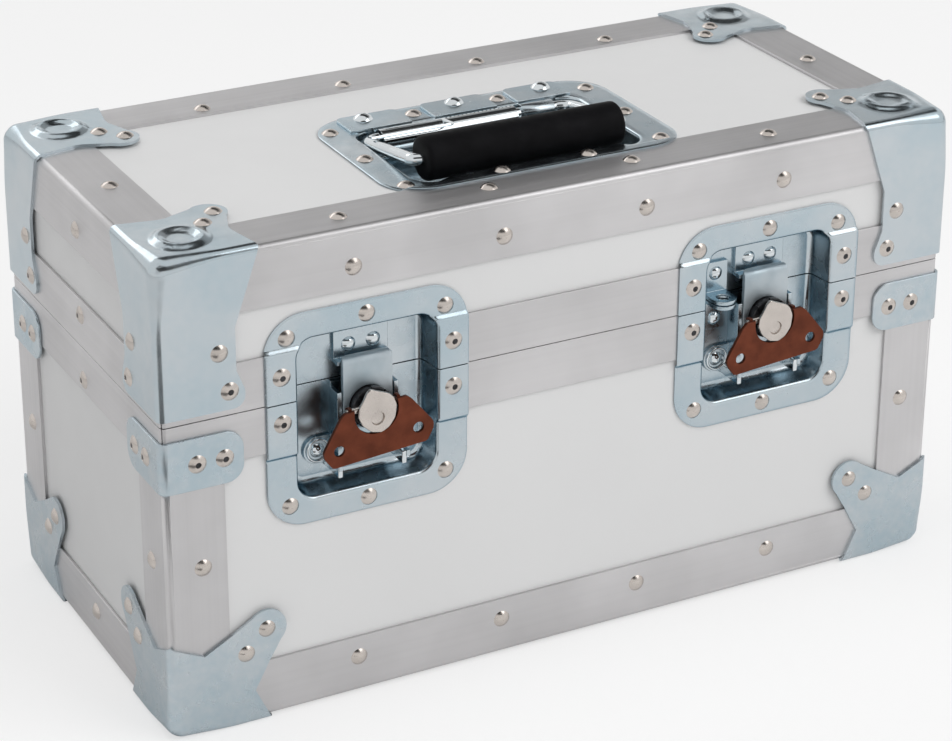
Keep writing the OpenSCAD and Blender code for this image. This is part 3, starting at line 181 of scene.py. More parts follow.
def noise(material, scale, detail=3.0, stretch=(1, 1, 1), rough=0.5, offset=(0, 0, 0)):
    """A noise in metres of the case's own frame, stretched along an axis where asked."""
    place = add_node(material, "ShaderNodeTexCoord")
    mapping = add_node(material, "ShaderNodeMapping", Scale=stretch, Location=offset)
    texture = add_node(material, "ShaderNodeTexNoise", Scale=scale, Detail=detail, Roughness=rough)
    wire(material, place.outputs["Object"], mapping.inputs["Vector"])
    wire(material, mapping.outputs["Vector"], texture.inputs["Vector"])
    return texture.outputs["Fac"]


def spread(material, value, low, high, start=0.3, end=0.7):
    """Maps the span from start to end of a value on the span from low to high."""
    node = add_node(material, "ShaderNodeMapRange", From_Min=start, From_Max=end, To_Min=low, To_Max=high)
    wire(material, value, node.inputs["Value"])
    return node.outputs["Result"]


def two_tone(material, factor, tone_a, tone_b):
    """A colour between two tones; the first may also be another node's output."""
    mix = add_node(material, "ShaderNodeMix", a_data_type="RGBA")
    if isinstance(tone_a, bpy.types.NodeSocket):
        wire(material, tone_a, mix.inputs[6])
    else:
        mix.inputs[6].default_value = (*tone_a, 1)
    mix.inputs[7].default_value = (*tone_b, 1)
    wire(material, factor, mix.inputs[0])
    return mix.outputs[2]


def bump(material, shader, height, strength, distance):
    node = add_node(material, "ShaderNodeBump", Strength=strength, Distance=distance)
    wire(material, height, node.inputs["Height"])
    wire(material, node.outputs["Normal"], shader.inputs["Normal"])


def shade(colour, factor):
    return tuple(min(1.0, c * factor) for c in colour)


def cloudy(material, shader, cloud, tones, grain, roughness):
    """Lets the colour drift between two tones, and the roughness between two values."""
    wire(material, two_tone(material, cloud, *tones), shader.inputs["Base Color"])
    wire(material, spread(material, grain, *roughness), shader.inputs["Roughness"])


def laminate_material(colours):
    material, shader = new_material("white_laminate", colours.laminate, 0, 0.42)
    cloudy(material, shader, spread(material, noise(material, 9, 2), 0, 1),
           (colours.laminate, shade(colours.laminate, 0.97)), noise(material, 60, 2), (0.36, 0.5))
    bump(material, shader, noise(material, 900, 2), 0.12, 0.2 * MM)
    return material


def aluminium_material(colours, name, stretch):
    """Mill-finished aluminium, with its drawing lines along the extrusion."""
    material, shader = new_material(name, colours.aluminium, 1, 0.4)
    lines = noise(material, 1, 4, stretch, 0.6)
    cloudy(material, shader, spread(material, noise(material, 14, 3), 0, 1, 0.35, 0.65),
           (shade(colours.aluminium, 0.92), shade(colours.aluminium, 1.08)), lines, (0.34, 0.5))
    bump(material, shader, lines, 0.08, 0.1 * MM)
    return material


def zinc_material(colours, name, roughness, contrast, painted_reflection_share=0.0):
    """Blue-passivated zinc: cloudy tones, a fine grain, and, where asked, a painted reflection: dark
    blue-green on faces seen at a slant.
    """
    material, shader = new_material(name, colours.zinc_light, 1, roughness)
    cloud = spread(material, noise(material, 26, 4, offset=(3, 1, 2)), 0, 1, 0.32, 0.68)
    mottle = spread(material, noise(material, 240, 3), -0.5 * contrast, 0.5 * contrast)
    add = add_node(material, "ShaderNodeMath", a_operation="ADD", a_use_clamp=True)
    wire(material, cloud, add.inputs[0])
    wire(material, mottle, add.inputs[1])
    plain = two_tone(material, add.outputs[0], colours.zinc_dark, colours.zinc_light)
    # Painted reflection: faces seen at a slant turn towards dark blue-green, for the dark surroundings that
    # they would mirror
    if painted_reflection_share:
        slant = add_node(material, "ShaderNodeLayerWeight", Blend=0.5)
        share = spread(material, slant.outputs["Facing"], 0, painted_reflection_share, 0.3, 0.62)
        plain = two_tone(material, share, plain, colours.zinc_painted_reflection)
    wire(material, plain, shader.inputs["Base Color"])
    wire(material, spread(material, noise(material, 90, 4), roughness * 0.75, roughness * 1.3),
         shader.inputs["Roughness"])
    bump(material, shader, noise(material, 420, 3), 0.06, 0.2 * MM)
    return material


def nickel_material(colours, name, roughness):
    material, shader = new_material(name, colours.nickel, 1, roughness)
    cloudy(material, shader, spread(material, noise(material, 110, 2), 0, 1),
           (shade(colours.nickel, 0.93), shade(colours.nickel, 1.06)),
           noise(material, 160, 2), (roughness * 0.85, roughness * 1.15))
    return material


def bright_material(colours):
    material, shader = new_material("bright_plating", colours.bright, 1, 0.09)
    cloudy(material, shader, spread(material, noise(material, 60, 2), 0, 1),
           (shade(colours.bright, 0.9), colours.bright), noise(material, 180, 3), (0.06, 0.15))
    return material


def copper_material(colours):
    material, shader = new_material("wing_copper", colours.copper, 0.85, 0.38)
    cloudy(material, shader, spread(material, noise(material, 120, 4), 0, 1),
           (shade(colours.copper, 0.8), shade(colours.copper, 1.3)), noise(material, 700, 3), (0.3, 0.5))
    bump(material, shader, noise(material, 1500, 2), 0.1, 0.1 * MM)
    return material


def cam_material(colours):
    material, shader = new_material("cam_black", colours.cam, 0.5, 0.32)
    cloudy(material, shader, spread(material, noise(material, 300, 3), 0, 1),
           (colours.cam_dark, colours.cam_worn), noise(material, 500, 3), (0.25, 0.45))
    bump(material, shader, noise(material, 900, 3), 0.2, 0.2 * MM)
    return material


def rubber_material(colours):
    material, shader = new_material("grip_rubber", colours.rubber, 0, 0.55)
    shader.inputs["Specular IOR Level"].default_value = 0.06
    cloudy(material, shader, spread(material, noise(material, 90, 4), 0, 1),
           (colours.rubber, shade(colours.rubber, 1.8)), noise(material, 200, 3), (0.46, 0.62))
    bump(material, shader, noise(material, 1800, 3), 0.2, 0.15 * MM)
    return material


def foam_material(colours):
    """Open-cell foam: pits for its open cells in a matt skin, darkened by painted shade."""
    material, shader = new_material("dark_foam", colours.foam, 0, 0.95)
    place = add_node(material, "ShaderNodeTexCoord")
    cells = add_node(material, "ShaderNodeTexVoronoi", Scale=650)
    wire(material, place.outputs["Object"], cells.inputs["Vector"])
    # Painted shade: the pits that the bump sinks are darker in the colour
    painted_pore_shade = spread(material, cells.outputs["Distance"], 0, 1, 0.1, 0.6)
    wire(material, two_tone(material, painted_pore_shade, shade(colours.foam, 0.5), shade(colours.foam, 1.6)),
         shader.inputs["Base Color"])
    bump(material, shader, cells.outputs["Distance"], 0.5, 0.5 * MM)
    return material


# Pieces and meshes

def bevel_sharp(thing, rounding, degrees, clamp=True):
    """Rounds every edge that is sharper than an angle, by a modifier."""
    edge = thing.modifiers.new("rounded edges", "BEVEL")
    edge.width = rounding
    edge.segments = 2
    edge.limit_method = "ANGLE"
    edge.angle_limit = math.radians(degrees)
    edge.use_clamp_overlap = clamp
    edge.harden_normals = True


def round_edges(thing, rounding):
    """Rounds sharp edges by modifiers, after the flats' triangles are joined."""
    weld = thing.modifiers.new("joined corners", "WELD")
    weld.merge_threshold = WELD_DISTANCE
    plain = thing.modifiers.new("whole flats", "DECIMATE")
    plain.decimate_type = "DISSOLVE"
    plain.angle_limit = math.radians(0.6)
    bevel_sharp(thing, rounding, 38, clamp=False)


def give_sheet(piece, thickness, rounding):
    """Turns a skin into sheet metal with slightly rounded cut edges."""
    sheet = piece.modifiers.new("sheet", "SOLIDIFY")
    sheet.thickness = thickness
    sheet.offset = -1
    bevel_sharp(piece, rounding, 60)


def dress(names, material, rounding=0.0):
    """Gives CAD nodes their finish, and rounds their sharp edges by a modifier."""
    for name in names:
        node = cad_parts[name]
        node.data.materials.clear()
        node.data.materials.append(material)
        if rounding:
            round_edges(node, rounding)


def new_piece(name, mesh, material, body, slot, *replaced):
    piece = bpy.data.objects.new(name, mesh)
    bpy.context.collection.objects.link(piece)
    piece.data.materials.append(material)
    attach(piece, body)
    if replaced:
        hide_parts(*replaced)
    return piece


def smooth(mesh, rounded=True):
    for face in mesh.polygons:
        face.use_smooth = rounded


def to_mesh(build, name, rounded=True):
    """Hands over a mesh in the making, shaded smooth, or else with the shading that its faces have."""
    mesh = bpy.data.meshes.new(name)
    build.to_mesh(mesh)
    build.free()
    if rounded:
        smooth(mesh)
    return mesh


def finish_mesh(build, name, lean=0.0, centre=None, crease=KEPT_CREASE):
    """Turns the mesh about the hub's axis where asked, and keeps edges sharper than a crease."""
    if lean:
        bmesh.ops.rotate(build, verts=build.verts, cent=centre, matrix=Matrix.Rotation(lean, 3, "Y"))
    bmesh.ops.recalc_face_normals(build, faces=build.faces)
    mesh = to_mesh(build, name)
    if crease:
        mesh.set_sharp_from_angle(angle=crease)
    return mesh


def slice_mesh(build, axis, spot, clear_below=False):
    """Cuts a mesh in the making across one axis, and may clear the lower side."""
    normal = Vector([1.0 if k == axis else 0.0 for k in range(3)])
    bmesh.ops.bisect_plane(build, geom=build.verts[:] + build.edges[:] + build.faces[:],
                           plane_co=normal * spot, plane_no=normal, clear_inner=clear_below)


def circle(build, centre, side, up, radius, count):
    """One ring of points about a centre, at even turns."""
    turns = [math.tau * k / count for k in range(count)]
    return [build.verts.new(centre + radius * (math.cos(a) * side + math.sin(a) * up)) for a in turns]


def bridge_rings(build, rings, close=True):
    for outer, inner in zip(rings, rings[1:]):
        count = len(outer)
        for k in range(count):
            build.faces.new((outer[k], outer[(k + 1) % count], inner[(k + 1) % count], inner[k]))
    if close:
        build.faces.new(rings[0])
        build.faces.new(rings[-1])


def ease(x):
    """A smooth step from 0 to 1."""
    x = min(max(x, 0), 1)
    return x * x * (3 - 2 * x)


def arc(centre, radius, start, end, steps):
    """Points on an arc, from one angle in degrees to another."""
    turns = (math.radians(start + (end - start) * k / steps) for k in range(steps + 1))
    return [(centre[0] + radius * math.cos(a), centre[1] + radius * math.sin(a)) for a in turns]


def reach(outline, angle):
    """How far an outline lies from the origin in one direction."""
    across = Vector((-math.sin(angle), math.cos(angle)))
    along = Vector((math.cos(angle), math.sin(angle)))
    best = 0
    for start, end in zip(outline, outline[1:]):
        start, end = Vector(start), Vector(end)
        before, after = start.dot(across), end.dot(across)
        if min(before, after) <= 1e-9 and max(before, after) >= -1e-9:
            share = before / (before - after) if before != after else 0
            best = max(best, start.lerp(end, min(max(share, 0), 1)).dot(along))
    return best


# Corner pressings

TOP_LEAF = {"waist": (0.92, 0.41), "neck": (0.92, 0.49), "lobe": 0.893, "radius": 0.18}
BOTTOM_LEAF = {"waist": (0.835, 0.35), "neck": (0.985, 0.63), "lobe": 0.966, "radius": 0.194}
UPRIGHT_LEAF = {"waist": 38.5 * MM, "flare": 37.5 * MM, "height": 77.5 * MM, "bulge": 4 * MM,
                "foot": 6 * MM}
STACKING_RING_IN = 23 * MM
LEAF_AXES = ((0, 1, 2), (0, 2, 1), (1, 2, 0))


def lobe_outline(leaf, waist, neck, lobe, radius):
    """A corner leaf with a diagonal rivet lobe; the other lengths are shares of the leaf's."""
    near = [(leaf, 0), (waist[0] * leaf, waist[1] * leaf), (neck[0] * leaf, neck[1] * leaf)]
    return (near + arc((lobe * leaf, lobe * leaf), radius * leaf, -45, 135, 24)
            + [(y, x) for x, y in near[::-1]])


def upright_outline(leaf, waist, flare, height, bulge, foot):
    """A lid corner's upright leaf: flared at the top, with a rounded foot."""
    out = waist + bulge
    return ([(leaf, 0), (waist, flare), (waist, height - 2.25 * foot)]
            + arc((out - foot, height - 1.25 * foot), foot, -60, 0, 6)
            + arc((out - foot, height - foot), foot, 0, 90, 8) + [(0, height)])


def bend_radius(pressings, along):
    """A corner's outer bend radius at a distance from its vertex."""
    return pressings.bend + (pressings.vertex - pressings.bend) * (1 - ease(along / pressings.run_out))


def onto_corner(point, pressings, depth=0.0):
    """Moves a point of a sharp corner onto the rounded one; points are distances from the three faces."""
    radius = bend_radius(pressings, max(point) - depth)
    heart = Vector([max(p, radius) for p in point])
    outward = point - heart
    if sum(p < radius for p in point) < 2 or outward.length <= radius - depth:
        return point
    return heart + outward * ((radius - depth) / outward.length)


def leaf_angles(outline):
    """Turns at which a leaf is cut: close together beside its edges, and exact at its outline's corners."""
    corners = [math.atan2(y, x) for x, y in outline][1:-1]
    near = [math.radians(0.9 * k) for k in range(9)]
    even = near + [math.radians(8 + 1.95 * k) for k in range(1, 38)] + [math.pi / 2 - a for a in near]
    least_gap = 0.004
    return sorted([a for a in even if min((abs(a - c) for c in corners), default=1) > least_gap] + corners)


def close_tip(build, tip):
    """Replaces the crowded faces round a corner's vertex by a fan."""
    fan_reach, rim_reach = 2.4 * MM, 4.5 * MM
    crowded = [v for v in build.verts if (v.co - tip).length < fan_reach]
    bmesh.ops.delete(build, geom=crowded, context="VERTS")
    rim = [e for e in build.edges if e.is_boundary and (e.verts[0].co - tip).length < rim_reach]
    fan = bmesh.ops.poke(build, faces=bmesh.ops.holes_fill(build, edges=rim, sides=0)["faces"])
    for v in fan["verts"]:
        v.co = tip


def corner_shell(outlines, pressings, ring_in=0.0):
    """A corner's outer skin, as distances from its three faces; leaf 0 is flat, 1 and 2 stand."""
    build = bmesh.new()
    fine, coarse = 0.8 * MM, 1.25 * MM
    steps = [0.0]
    while steps[-1] < pressings.leaf - coarse / 2:
        steps.append(steps[-1] + (fine if steps[-1] < pressings.vertex else coarse))
    shares = [s / steps[-1] for s in steps]
    for (u, v, w), outline in zip(LEAF_AXES, outlines):
        rows = []
        for angle in leaf_angles(outline):
            far = reach(outline, angle)
            row = []
            for share in shares:
                place = Vector((0, 0, 0))
                place[u], place[v] = share * far * math.cos(angle), share * far * math.sin(angle)
                moved = onto_corner(place, pressings)
                if ring_in and w == 2:
                    off = abs(math.hypot(place.x - ring_in, place.y - ring_in) - pressings.ring_radius)
                    rise = math.cos(min(off / pressings.ring_width, 1) * math.pi / 2) ** 2
                    moved.z -= pressings.ring_height * rise
                row.append(build.verts.new(moved))
            rows.append(row)
        for row, after in zip(rows, rows[1:]):
            for k in range(len(shares) - 1):
                build.faces.new((row[k], row[k + 1], after[k + 1], after[k]))
    bmesh.ops.remove_doubles(build, verts=build.verts, dist=0.03 * MM)
    close_tip(build, onto_corner(Vector((0, 0, 0)), pressings))
    bmesh.ops.recalc_face_normals(build, faces=build.faces)
    flat = max(build.faces, key=lambda face: min(face.calc_center_median().to_2d()))
    if flat.normal.z > 0:
        bmesh.ops.reverse_faces(build, faces=build.faces)
    return build


def four_corners(build, name, outer, up):
    """Copies a corner's skin to the four corners of a box; up is 1 where leaf 0 lies on top, else -1."""
    copy = bpy.data.meshes.new(name + "_copy")
    whole = bmesh.new()
    for side in (-1, 1):
        for end in (-1, 1):
            build.to_mesh(copy)
            copy.transform(Matrix.Translation((side * outer.x, end * outer.y, outer.z))
                           @ Matrix.Diagonal((-side, -end, -up, 1)))
            if side * end * up > 0:
                copy.flip_normals()
            whole.from_mesh(copy)
    build.free()
    bpy.data.meshes.remove(copy)
    return to_mesh(whole, name)


def tucked(name, outer_low, outer_high, pressings):
    """A copy of a CAD node's mesh, pulled in where a corner pressing is rounder than the node, or None."""
    build = bmesh.new()
    build.from_mesh(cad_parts[name].data)
    bmesh.ops.remove_doubles(build, verts=build.verts, dist=WELD_DISTANCE)
    reach_in, depth, least_move = pressings.run_out + 4 * MM, pressings.sheet + 0.05 * MM, 0.02 * MM

    def move(point):
        from_low, from_high = point - outer_low, outer_high - point
        near = Vector([min(from_low[k], from_high[k]) for k in range(3)])
        if max(near) > reach_in or min(near) < 0:
            return point
        place = onto_corner(near, pressings, depth)
        return Vector([point[k] + (place[k] - near[k]) * (1 if from_low[k] < from_high[k] else -1)
                       for k in range(3)])

    if not any((move(v.co) - v.co).length > least_move for v in build.verts):
        build.free()
        return None
    # Cuts in millimetres from an edge, closer together where the corner bends most
    near_cuts, far_cuts = [1.5 + 1.6 * k for k in range(6)], [13 + 4 * k for k in range(7)]
    for axis in range(3):
        for cut in near_cuts + far_cuts:
            slice_mesh(build, axis, outer_low[axis] + cut * MM)
            slice_mesh(build, axis, outer_high[axis] - cut * MM)
    for v in build.verts:
        v.co = move(v.co)
    return to_mesh(build, name + "_tucked", rounded=False)


def clad(names, material, rounding, slot):
    """Dresses CAD nodes, or replaces them by tucked copies where they reach under a rounded corner."""
    pressings = bpy.context.scene.case_pressings
    for name in names:
        body = "lid" if name.startswith(("lid", "top")) else "base"
        mesh = tucked(name, *corner_planes(body), pressings)
        if mesh is None:
            dress([name], material, rounding)
            continue
        piece = new_piece(name + "_run", mesh, material, body, slot, name)
        bevel_sharp(piece, rounding, 38)


def corner_planes(body):
    """Low and high corners of the box that a body's corner pressings wrap, open towards the other body."""
    low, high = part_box("lid_corners" if body == "lid" else "bottom_corners")
    low, high = Vector(low), Vector(high)
    if body == "lid":
        high.z -= bpy.context.scene.case_pressings.ring_height
        low.z = -1
    else:
        high.z = 1
    return low, high


# Latch and handle dishes

def ring_points(left, right, up, down, radius):
    """Points round a rounded rectangle about its centre, the same count for every size."""
    sides, corners = 18, 16
    hearts = ((right - radius, up - radius, 0), (radius - left, up - radius, 90),
              (radius - left, radius - down, 180), (right - radius, radius - down, 270))
    arcs = [arc((x, y), radius, start, start + 90, corners) for x, y, start in hearts]
    points = []
    for turn, after in zip(arcs, arcs[1:] + arcs[:1]):
        start, end = Vector(turn[-1]), Vector(after[0])
        points += turn + [tuple(start.lerp(end, j / sides)) for j in range(1, sides)]
    return points


def dish_rings(flange, opening, deep, pressings):
    """Pairs of outline and depth, from a dish's flange edge to the middle of its floor."""
    fold, fillet, draft = pressings.dish_fold, pressings.dish_fillet, pressings.dish_draft
    yield flange, 0.35 * MM
    flange = [size - 0.7 * MM for size in flange]
    mouth = [size + fold for size in opening]
    for k in range(9):
        yield [a + (b - a) * k / 8 for a, b in zip(flange, mouth)], 0.0
    for k in range(1, 6):
        turn = math.radians(18 * k)
        yield [size + fold * (1 - math.sin(turn)) for size in opening], fold * (1 - math.cos(turn))
    wall = deep - fillet - fold
    for k in range(1, 5):
        yield [size - draft * k / 4 for size in opening], fold + wall * k / 4
    for k in range(1, 7):
        turn = math.radians(15 * k)
        yield ([size - draft - fillet * (1 - math.cos(turn)) for size in opening],
               deep - fillet * (1 - math.sin(turn)))
    for share in (0.75, 0.5, 0.25):
        yield [(size - draft - fillet) * share for size in opening], deep


def step_cuts(middle, joggle):
    """Heights at which a flange's step is cut, so that it can bend."""
    return [middle + joggle * k / 6 for k in range(-3, 4)]


def pressed_dish(name, rings, deep, level, place, cuts, half=0, parting=0.0):
    """A dish's skin, or its upper (1) or lower (-1) half: u across, v up, depth inwards.

    level(u, v) is how far the flange stands proud, and place(u, v, depth) the point in the frame.
    """
    build = bmesh.new()
    loops = [[build.verts.new((u, v, depth)) for u, v in ring_points(*outline)] for outline, depth in rings]
    bridge_rings(build, loops, close=False)
    build.faces.new(loops[-1])
    if half:
        for v in build.verts:
            v.co.y *= half
    for cut in cuts:
        slice_mesh(build, 1, cut)
    if half:
        slice_mesh(build, 1, parting, clear_below=True)
    bmesh.ops.remove_doubles(build, verts=build.verts, dist=0.06 * MM)
    for v in build.verts:
        u, side, depth = v.co.x, v.co.y * (half or 1), v.co.z
        v.co = place(u, side, depth - level(u, side) * (1 - depth / deep))
    bmesh.ops.recalc_face_normals(build, faces=build.faces)
    floor_face = max(build.faces, key=lambda face: face.calc_area())
    outward = place(0, 0, -1) - place(0, 0, 0)
    if floor_face.normal.dot(outward) < 0:
        bmesh.ops.reverse_faces(build, faces=build.faces)
    return to_mesh(build, name)


class LatchPlace:
    """Where a latch lies, read from the CAD boxes of its dish's two halves."""
    shift = 2.3 * MM
    hub_drop = 12.6 * MM
    flange_round = 20 * MM
    opening_half, opening_up, opening_down, opening_round = 35.75 * MM, 29 * MM, 52 * MM, 9 * MM
    step_up, step_down = 26.4 * MM, 27.6 * MM

    def __init__(self, side):
        self.low = Vector(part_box(side + "_lower_dish")[0])
        self.high = Vector(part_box(side + "_upper_dish")[1])
        self.parting = (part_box(side + "_lower_dish")[1].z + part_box(side + "_upper_dish")[0].z) / 2
        self.x = (self.low.x + self.high.x) / 2
        self.mechanism_x = self.x + self.shift
        self.face = self.low.y + PLATE
        self.floor = self.high.y - PLATE
        self.hub = Vector((self.mechanism_x, self.face, self.parting - self.hub_drop))

    def dish_half(self, name, upper, pressings):
        """One half of the latch dish, with the steps by which its flange climbs on the rims."""
        low_face = self.low.y + RIM_RISE
        half_w = self.high.x - self.x
        flange = (half_w, half_w, self.high.z - self.parting, self.parting - self.low.z, self.flange_round)
        opening = (self.opening_half, self.opening_half, self.opening_up, self.opening_down,
                   self.opening_round)

        def level(_u, v):
            over = v - self.step_up if v > 0 else -v - self.step_down
            return RIM_RISE * (1 - ease(over / pressings.joggle + 0.5))

        def place(u, v, depth):
            return Vector((self.x + u, low_face + depth, self.parting + v))

        deep = self.floor - low_face
        cuts = step_cuts(self.step_up if upper else self.step_down, pressings.joggle)
        rings = dish_rings(flange, opening, deep, pressings)
        return pressed_dish(name, rings, deep, level, place, cuts, 1 if upper else -1, pressings.parting)

    def ear(self):
        """Middle of the ring that stands up round a rivet of the base plate."""
        return Vector((self.mechanism_x - 22.6 * MM, self.floor - 1.9 * MM, self.parting - 35 * MM))

    def feet(self):
        """Low and high corners of the two rests under the wing."""
        width, bottom, top = 2.4, self.parting - 44.6 * MM, self.parting - 38.2 * MM
        return [((self.mechanism_x + x * MM, self.face - PLATE, bottom),
                 (self.mechanism_x + (x + width) * MM, self.floor + 0.4 * MM, top)) for x in (-18.7, 14.4)]


def handle_dish_skin(name, pressings):
    """The handle's dish: its flange lies on the panel and climbs on the front edge angle."""
    left_flange, right_flange, front_flange, to_back = 16.5 * MM, 20.5 * MM, 10.5 * MM, 86 * MM
    flange_round, opening_round, lap_width = 22 * MM, 10 * MM, 6.6 * MM
    strip_in, strip_over, strip_ramp = 12 * MM, 5 * MM, 9 * MM
    low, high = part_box("handle_dish")
    top = high.z - RIM_RISE
    left, right = low.x + left_flange, high.x - right_flange
    front, back = low.y + front_flange, low.y + to_back
    heart = Vector(((left + right) / 2, (front + back) / 2, top))
    opening = (heart.x - left, right - heart.x, back - heart.y, heart.y - front, opening_round)
    flange = (heart.x - low.x, high.x - heart.x, high.y - heart.y, heart.y - low.y, flange_round)
    lap = low.y + lap_width - heart.y
    strip = heart.x - left - strip_in

    def level(u, v):
        inside = ease((strip - abs(u)) / strip_ramp + 0.5)
        ramp = lap + (front - heart.y + strip_over - lap) * inside
        return RIM_RISE * (1 - ease((v - ramp) / pressings.joggle + 0.5))

    def place(u, v, depth):
        return heart + Vector((u, v, -depth))

    deep = top - (low.z + PLATE)
    rings = dish_rings(flange, opening, deep, pressings)
    return pressed_dish(name, rings, deep, level, place, step_cuts(lap, pressings.joggle))


# Latch parts

def pick_outline(count):
    """The hub cap's outline, shaped like a plectrum: reach from its middle at even turns, in metres."""
    knots = ((-2.4, 12.2), (0.4, 10.6), (3.9, 8.9), (7.4, 7.2), (9.2, 4.9), (10.5, 0.6), (9.2, -5.6),
             (5.9, -9.6), (1.6, -11.5), (-3.5, -10.0), (-7.7, -5.5), (-9.6, -0.4), (-8.8, 3.4), (-6.0, 7.2),
             (-4.2, 10.2))
    ring = [Vector(k) * MM for k in knots]
    points = [reach(ring + ring[:1], math.tau * k / count) for k in range(count)]
    for _ in range(2):
        points = [(points[k - 1] + 2 * points[k] + points[(k + 1) % count]) / 4 for k in range(count)]
    return points


def add_ring(build, reaches, y, centre, grow=0.0):
    """One ring of points about the hub's axis, at a depth."""
    count = len(reaches)
    return [build.verts.new((centre.x + (length + grow) * math.cos(math.tau * k / count),
                             centre.y + y,
                             centre.z + (length + grow) * math.sin(math.tau * k / count)))
            for k, length in enumerate(reaches)]


def claw_plate(name, latch):
    """The claw: a plate with a slot for the cam's shank, its rounded top bent back over the keeper."""
    half, up, down, corner, foot = 12.8, 30.55, 15.45, 4.5, 2
    slot, play, back, front, edge = 9.7, 3.25, 7, 5, 0.3
    outline = ([(half, 0)] + arc((half - corner, up - corner), corner, 0, 90, 10)
               + arc((corner - half, up - corner), corner, 90, 180, 10)
               + arc((foot - half, foot - down), foot, 180, 270, 6)
               + arc((half - foot, foot - down), foot, 270, 360, 6) + [(half, 0)])
    hole = arc((0, play), slot, 0, 180, 24) + arc((0, -play), slot, 180, 360, 24) + [(slot, play)]
    turns = [math.tau * k / 120 for k in range(120)]
    outer, inner = [reach(outline, a) * MM for a in turns], [reach(hole, a) * MM for a in turns]
    centre = latch.hub - Vector((0, 0, play * MM))
    build = bmesh.new()
    rings = [add_ring(build, reaches, y * MM, centre, grow * MM)
             for reaches, y, grow in ((outer, back, 0), (outer, front + edge, 0), (outer, front, -edge),
                                      (inner, front, edge), (inner, front + edge, 0), (inner, back, 0))]
    bridge_rings(build, rings + rings[:1], close=False)
    bend_start, bend_length, radius = latch.parting + 9 * MM, 4 * MM, 3.3 * MM
    for k in range(11):
        slice_mesh(build, 2, bend_start + 0.4 * k * MM)
    face = latch.face + front * MM
    for v in build.verts:
        along = v.co.z - bend_start
        if along > 0:
            depth, angle = v.co.y - face, min(along / bend_length, 1) * math.pi / 2
            v.co.z = bend_start + (radius - depth) * math.sin(angle)
            v.co.y = face + radius - (radius - depth) * math.cos(angle) + max(along - bend_length, 0)
    return finish_mesh(build, name)


def hub_cap(name, centre, lean):
    """A flat plectrum-shaped cap with a punched pit, on a round shank."""
    build = bmesh.new()
    count, shank, back, pit_radius = 96, 4 * MM, -2.9 * MM, 3.4 * MM
    cap_edge = ((-3.0, 0.0), (-4.0, 0.0), (-4.3, -0.12), (-4.48, -0.45), (-4.5, -0.9))
    pit_wall = ((-4.5, 0.4), (-4.44, 0.1), (-4.1, -0.1), (-3.5, -0.3), (-3.2, -0.9), (-3.1, -2.9))
    pit_heart = Vector((centre.x + 0.2 * MM, centre.y, centre.z - 3.6 * MM))
    outline = pick_outline(count)
    rings = [add_ring(build, [shank] * count, back, centre),
             add_ring(build, outline, back, centre, -0.3 * MM)]
    rings += [add_ring(build, outline, y * MM, centre, grow * MM) for y, grow in cap_edge]
    rings += [add_ring(build, [pit_radius] * count, y * MM, pit_heart, grow * MM) for y, grow in pit_wall]
    bridge_rings(build, rings)
    return finish_mesh(build, name, lean, centre)


def hub_cam(name, centre, lean):
    """The black cam behind the cap: a slotted disc on a stout shank."""
    build = bmesh.new()
    sectors, heart, rim = 8, 3.2 * MM, 10.4 * MM
    disc = ((2.3, 1.0), (0.7, 1.0), (0.4, 0.94))
    shank = ((6.2, -3.05), (6.2, 0.5), (9.1, 1.3), (9.1, 12.4))
    for k in range(sectors):
        start = 5 + 45 * k
        outline = [(heart, start + 20)] + [(rim, start + 5.1 * j) for j in range(8)]
        rings = [[build.verts.new((centre.x + share * r * math.cos(math.radians(a)), centre.y + y * MM,
                                   centre.z + share * r * math.sin(math.radians(a))))
                  for r, a in outline] for y, share in disc]
        bridge_rings(build, rings)
    bridge_rings(build, [add_ring(build, [radius * MM] * 48, y * MM, centre) for radius, y in shank])
    mesh = finish_mesh(build, name, lean, centre)
    smooth(mesh, False)
    return mesh


def ear_ring(name, centre, radius, bead):
    """A rolled ring pressed up round a rivet."""
    build = bmesh.new()
    turns, sides = 48, 12
    loops = []
    for k in range(turns):
        a = math.tau * k / turns
        out = Vector((math.cos(a), 0, math.sin(a)))
        loops.append([build.verts.new(centre + out * (radius + bead * math.cos(b))
                                      + Vector((0, -bead * math.sin(b), 0)))
                      for b in (math.tau * j / sides for j in range(sides))])
    bridge_rings(build, loops + loops[:1], close=False)
    return finish_mesh(build, name)


# Rivets, rests and the handle's parts

def loose_parts(mesh):
    """Lowest and highest corners of each separate part of a mesh."""
    build = bmesh.new()
    build.from_mesh(mesh)
    bmesh.ops.remove_doubles(build, verts=build.verts, dist=WELD_DISTANCE)
    build.verts.ensure_lookup_table()
    seen, boxes = set(), []
    for first in build.verts:
        if first.index in seen:
            continue
        low, high, queue = first.co.copy(), first.co.copy(), [first]
        seen.add(first.index)
        while queue:
            v = queue.pop()
            low = Vector([min(low[k], v.co[k]) for k in range(3)])
            high = Vector([max(high[k], v.co[k]) for k in range(3)])
            for edge in v.link_edges:
                other = edge.other_vert(v)
                if other.index not in seen:
                    seen.add(other.index)
                    queue.append(other)
        boxes.append((low, high))
    build.free()
    return boxes


def blind_noses(name, node, radius):
    """Painted shade in the hollow noses of blind rivets: one dark button in each head."""
    build = bmesh.new()
    sunk = 0.22 * MM
    button = ((-0.8, 1.0), (-0.05, 1.0), (0.0, 0.9))
    for low, high in loose_parts(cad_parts[node].data):
        size, centre = high - low, (low + high) / 2
        axis = min(range(3), key=lambda k: size[k])
        out = Vector([0.0, 0.0, 0.0])
        out[axis] = 1.0 if centre[axis] > CASE_CENTRE[axis] else -1.0
        tip = centre + out * (size[axis] / 2 - sunk)
        side = Vector((out.y, out.z, out.x))
        up = out.cross(side)
        bridge_rings(build, [circle(build, tip + out * y * MM, side, up, share * radius, 20)
                             for y, share in button])
    return finish_mesh(build, name)


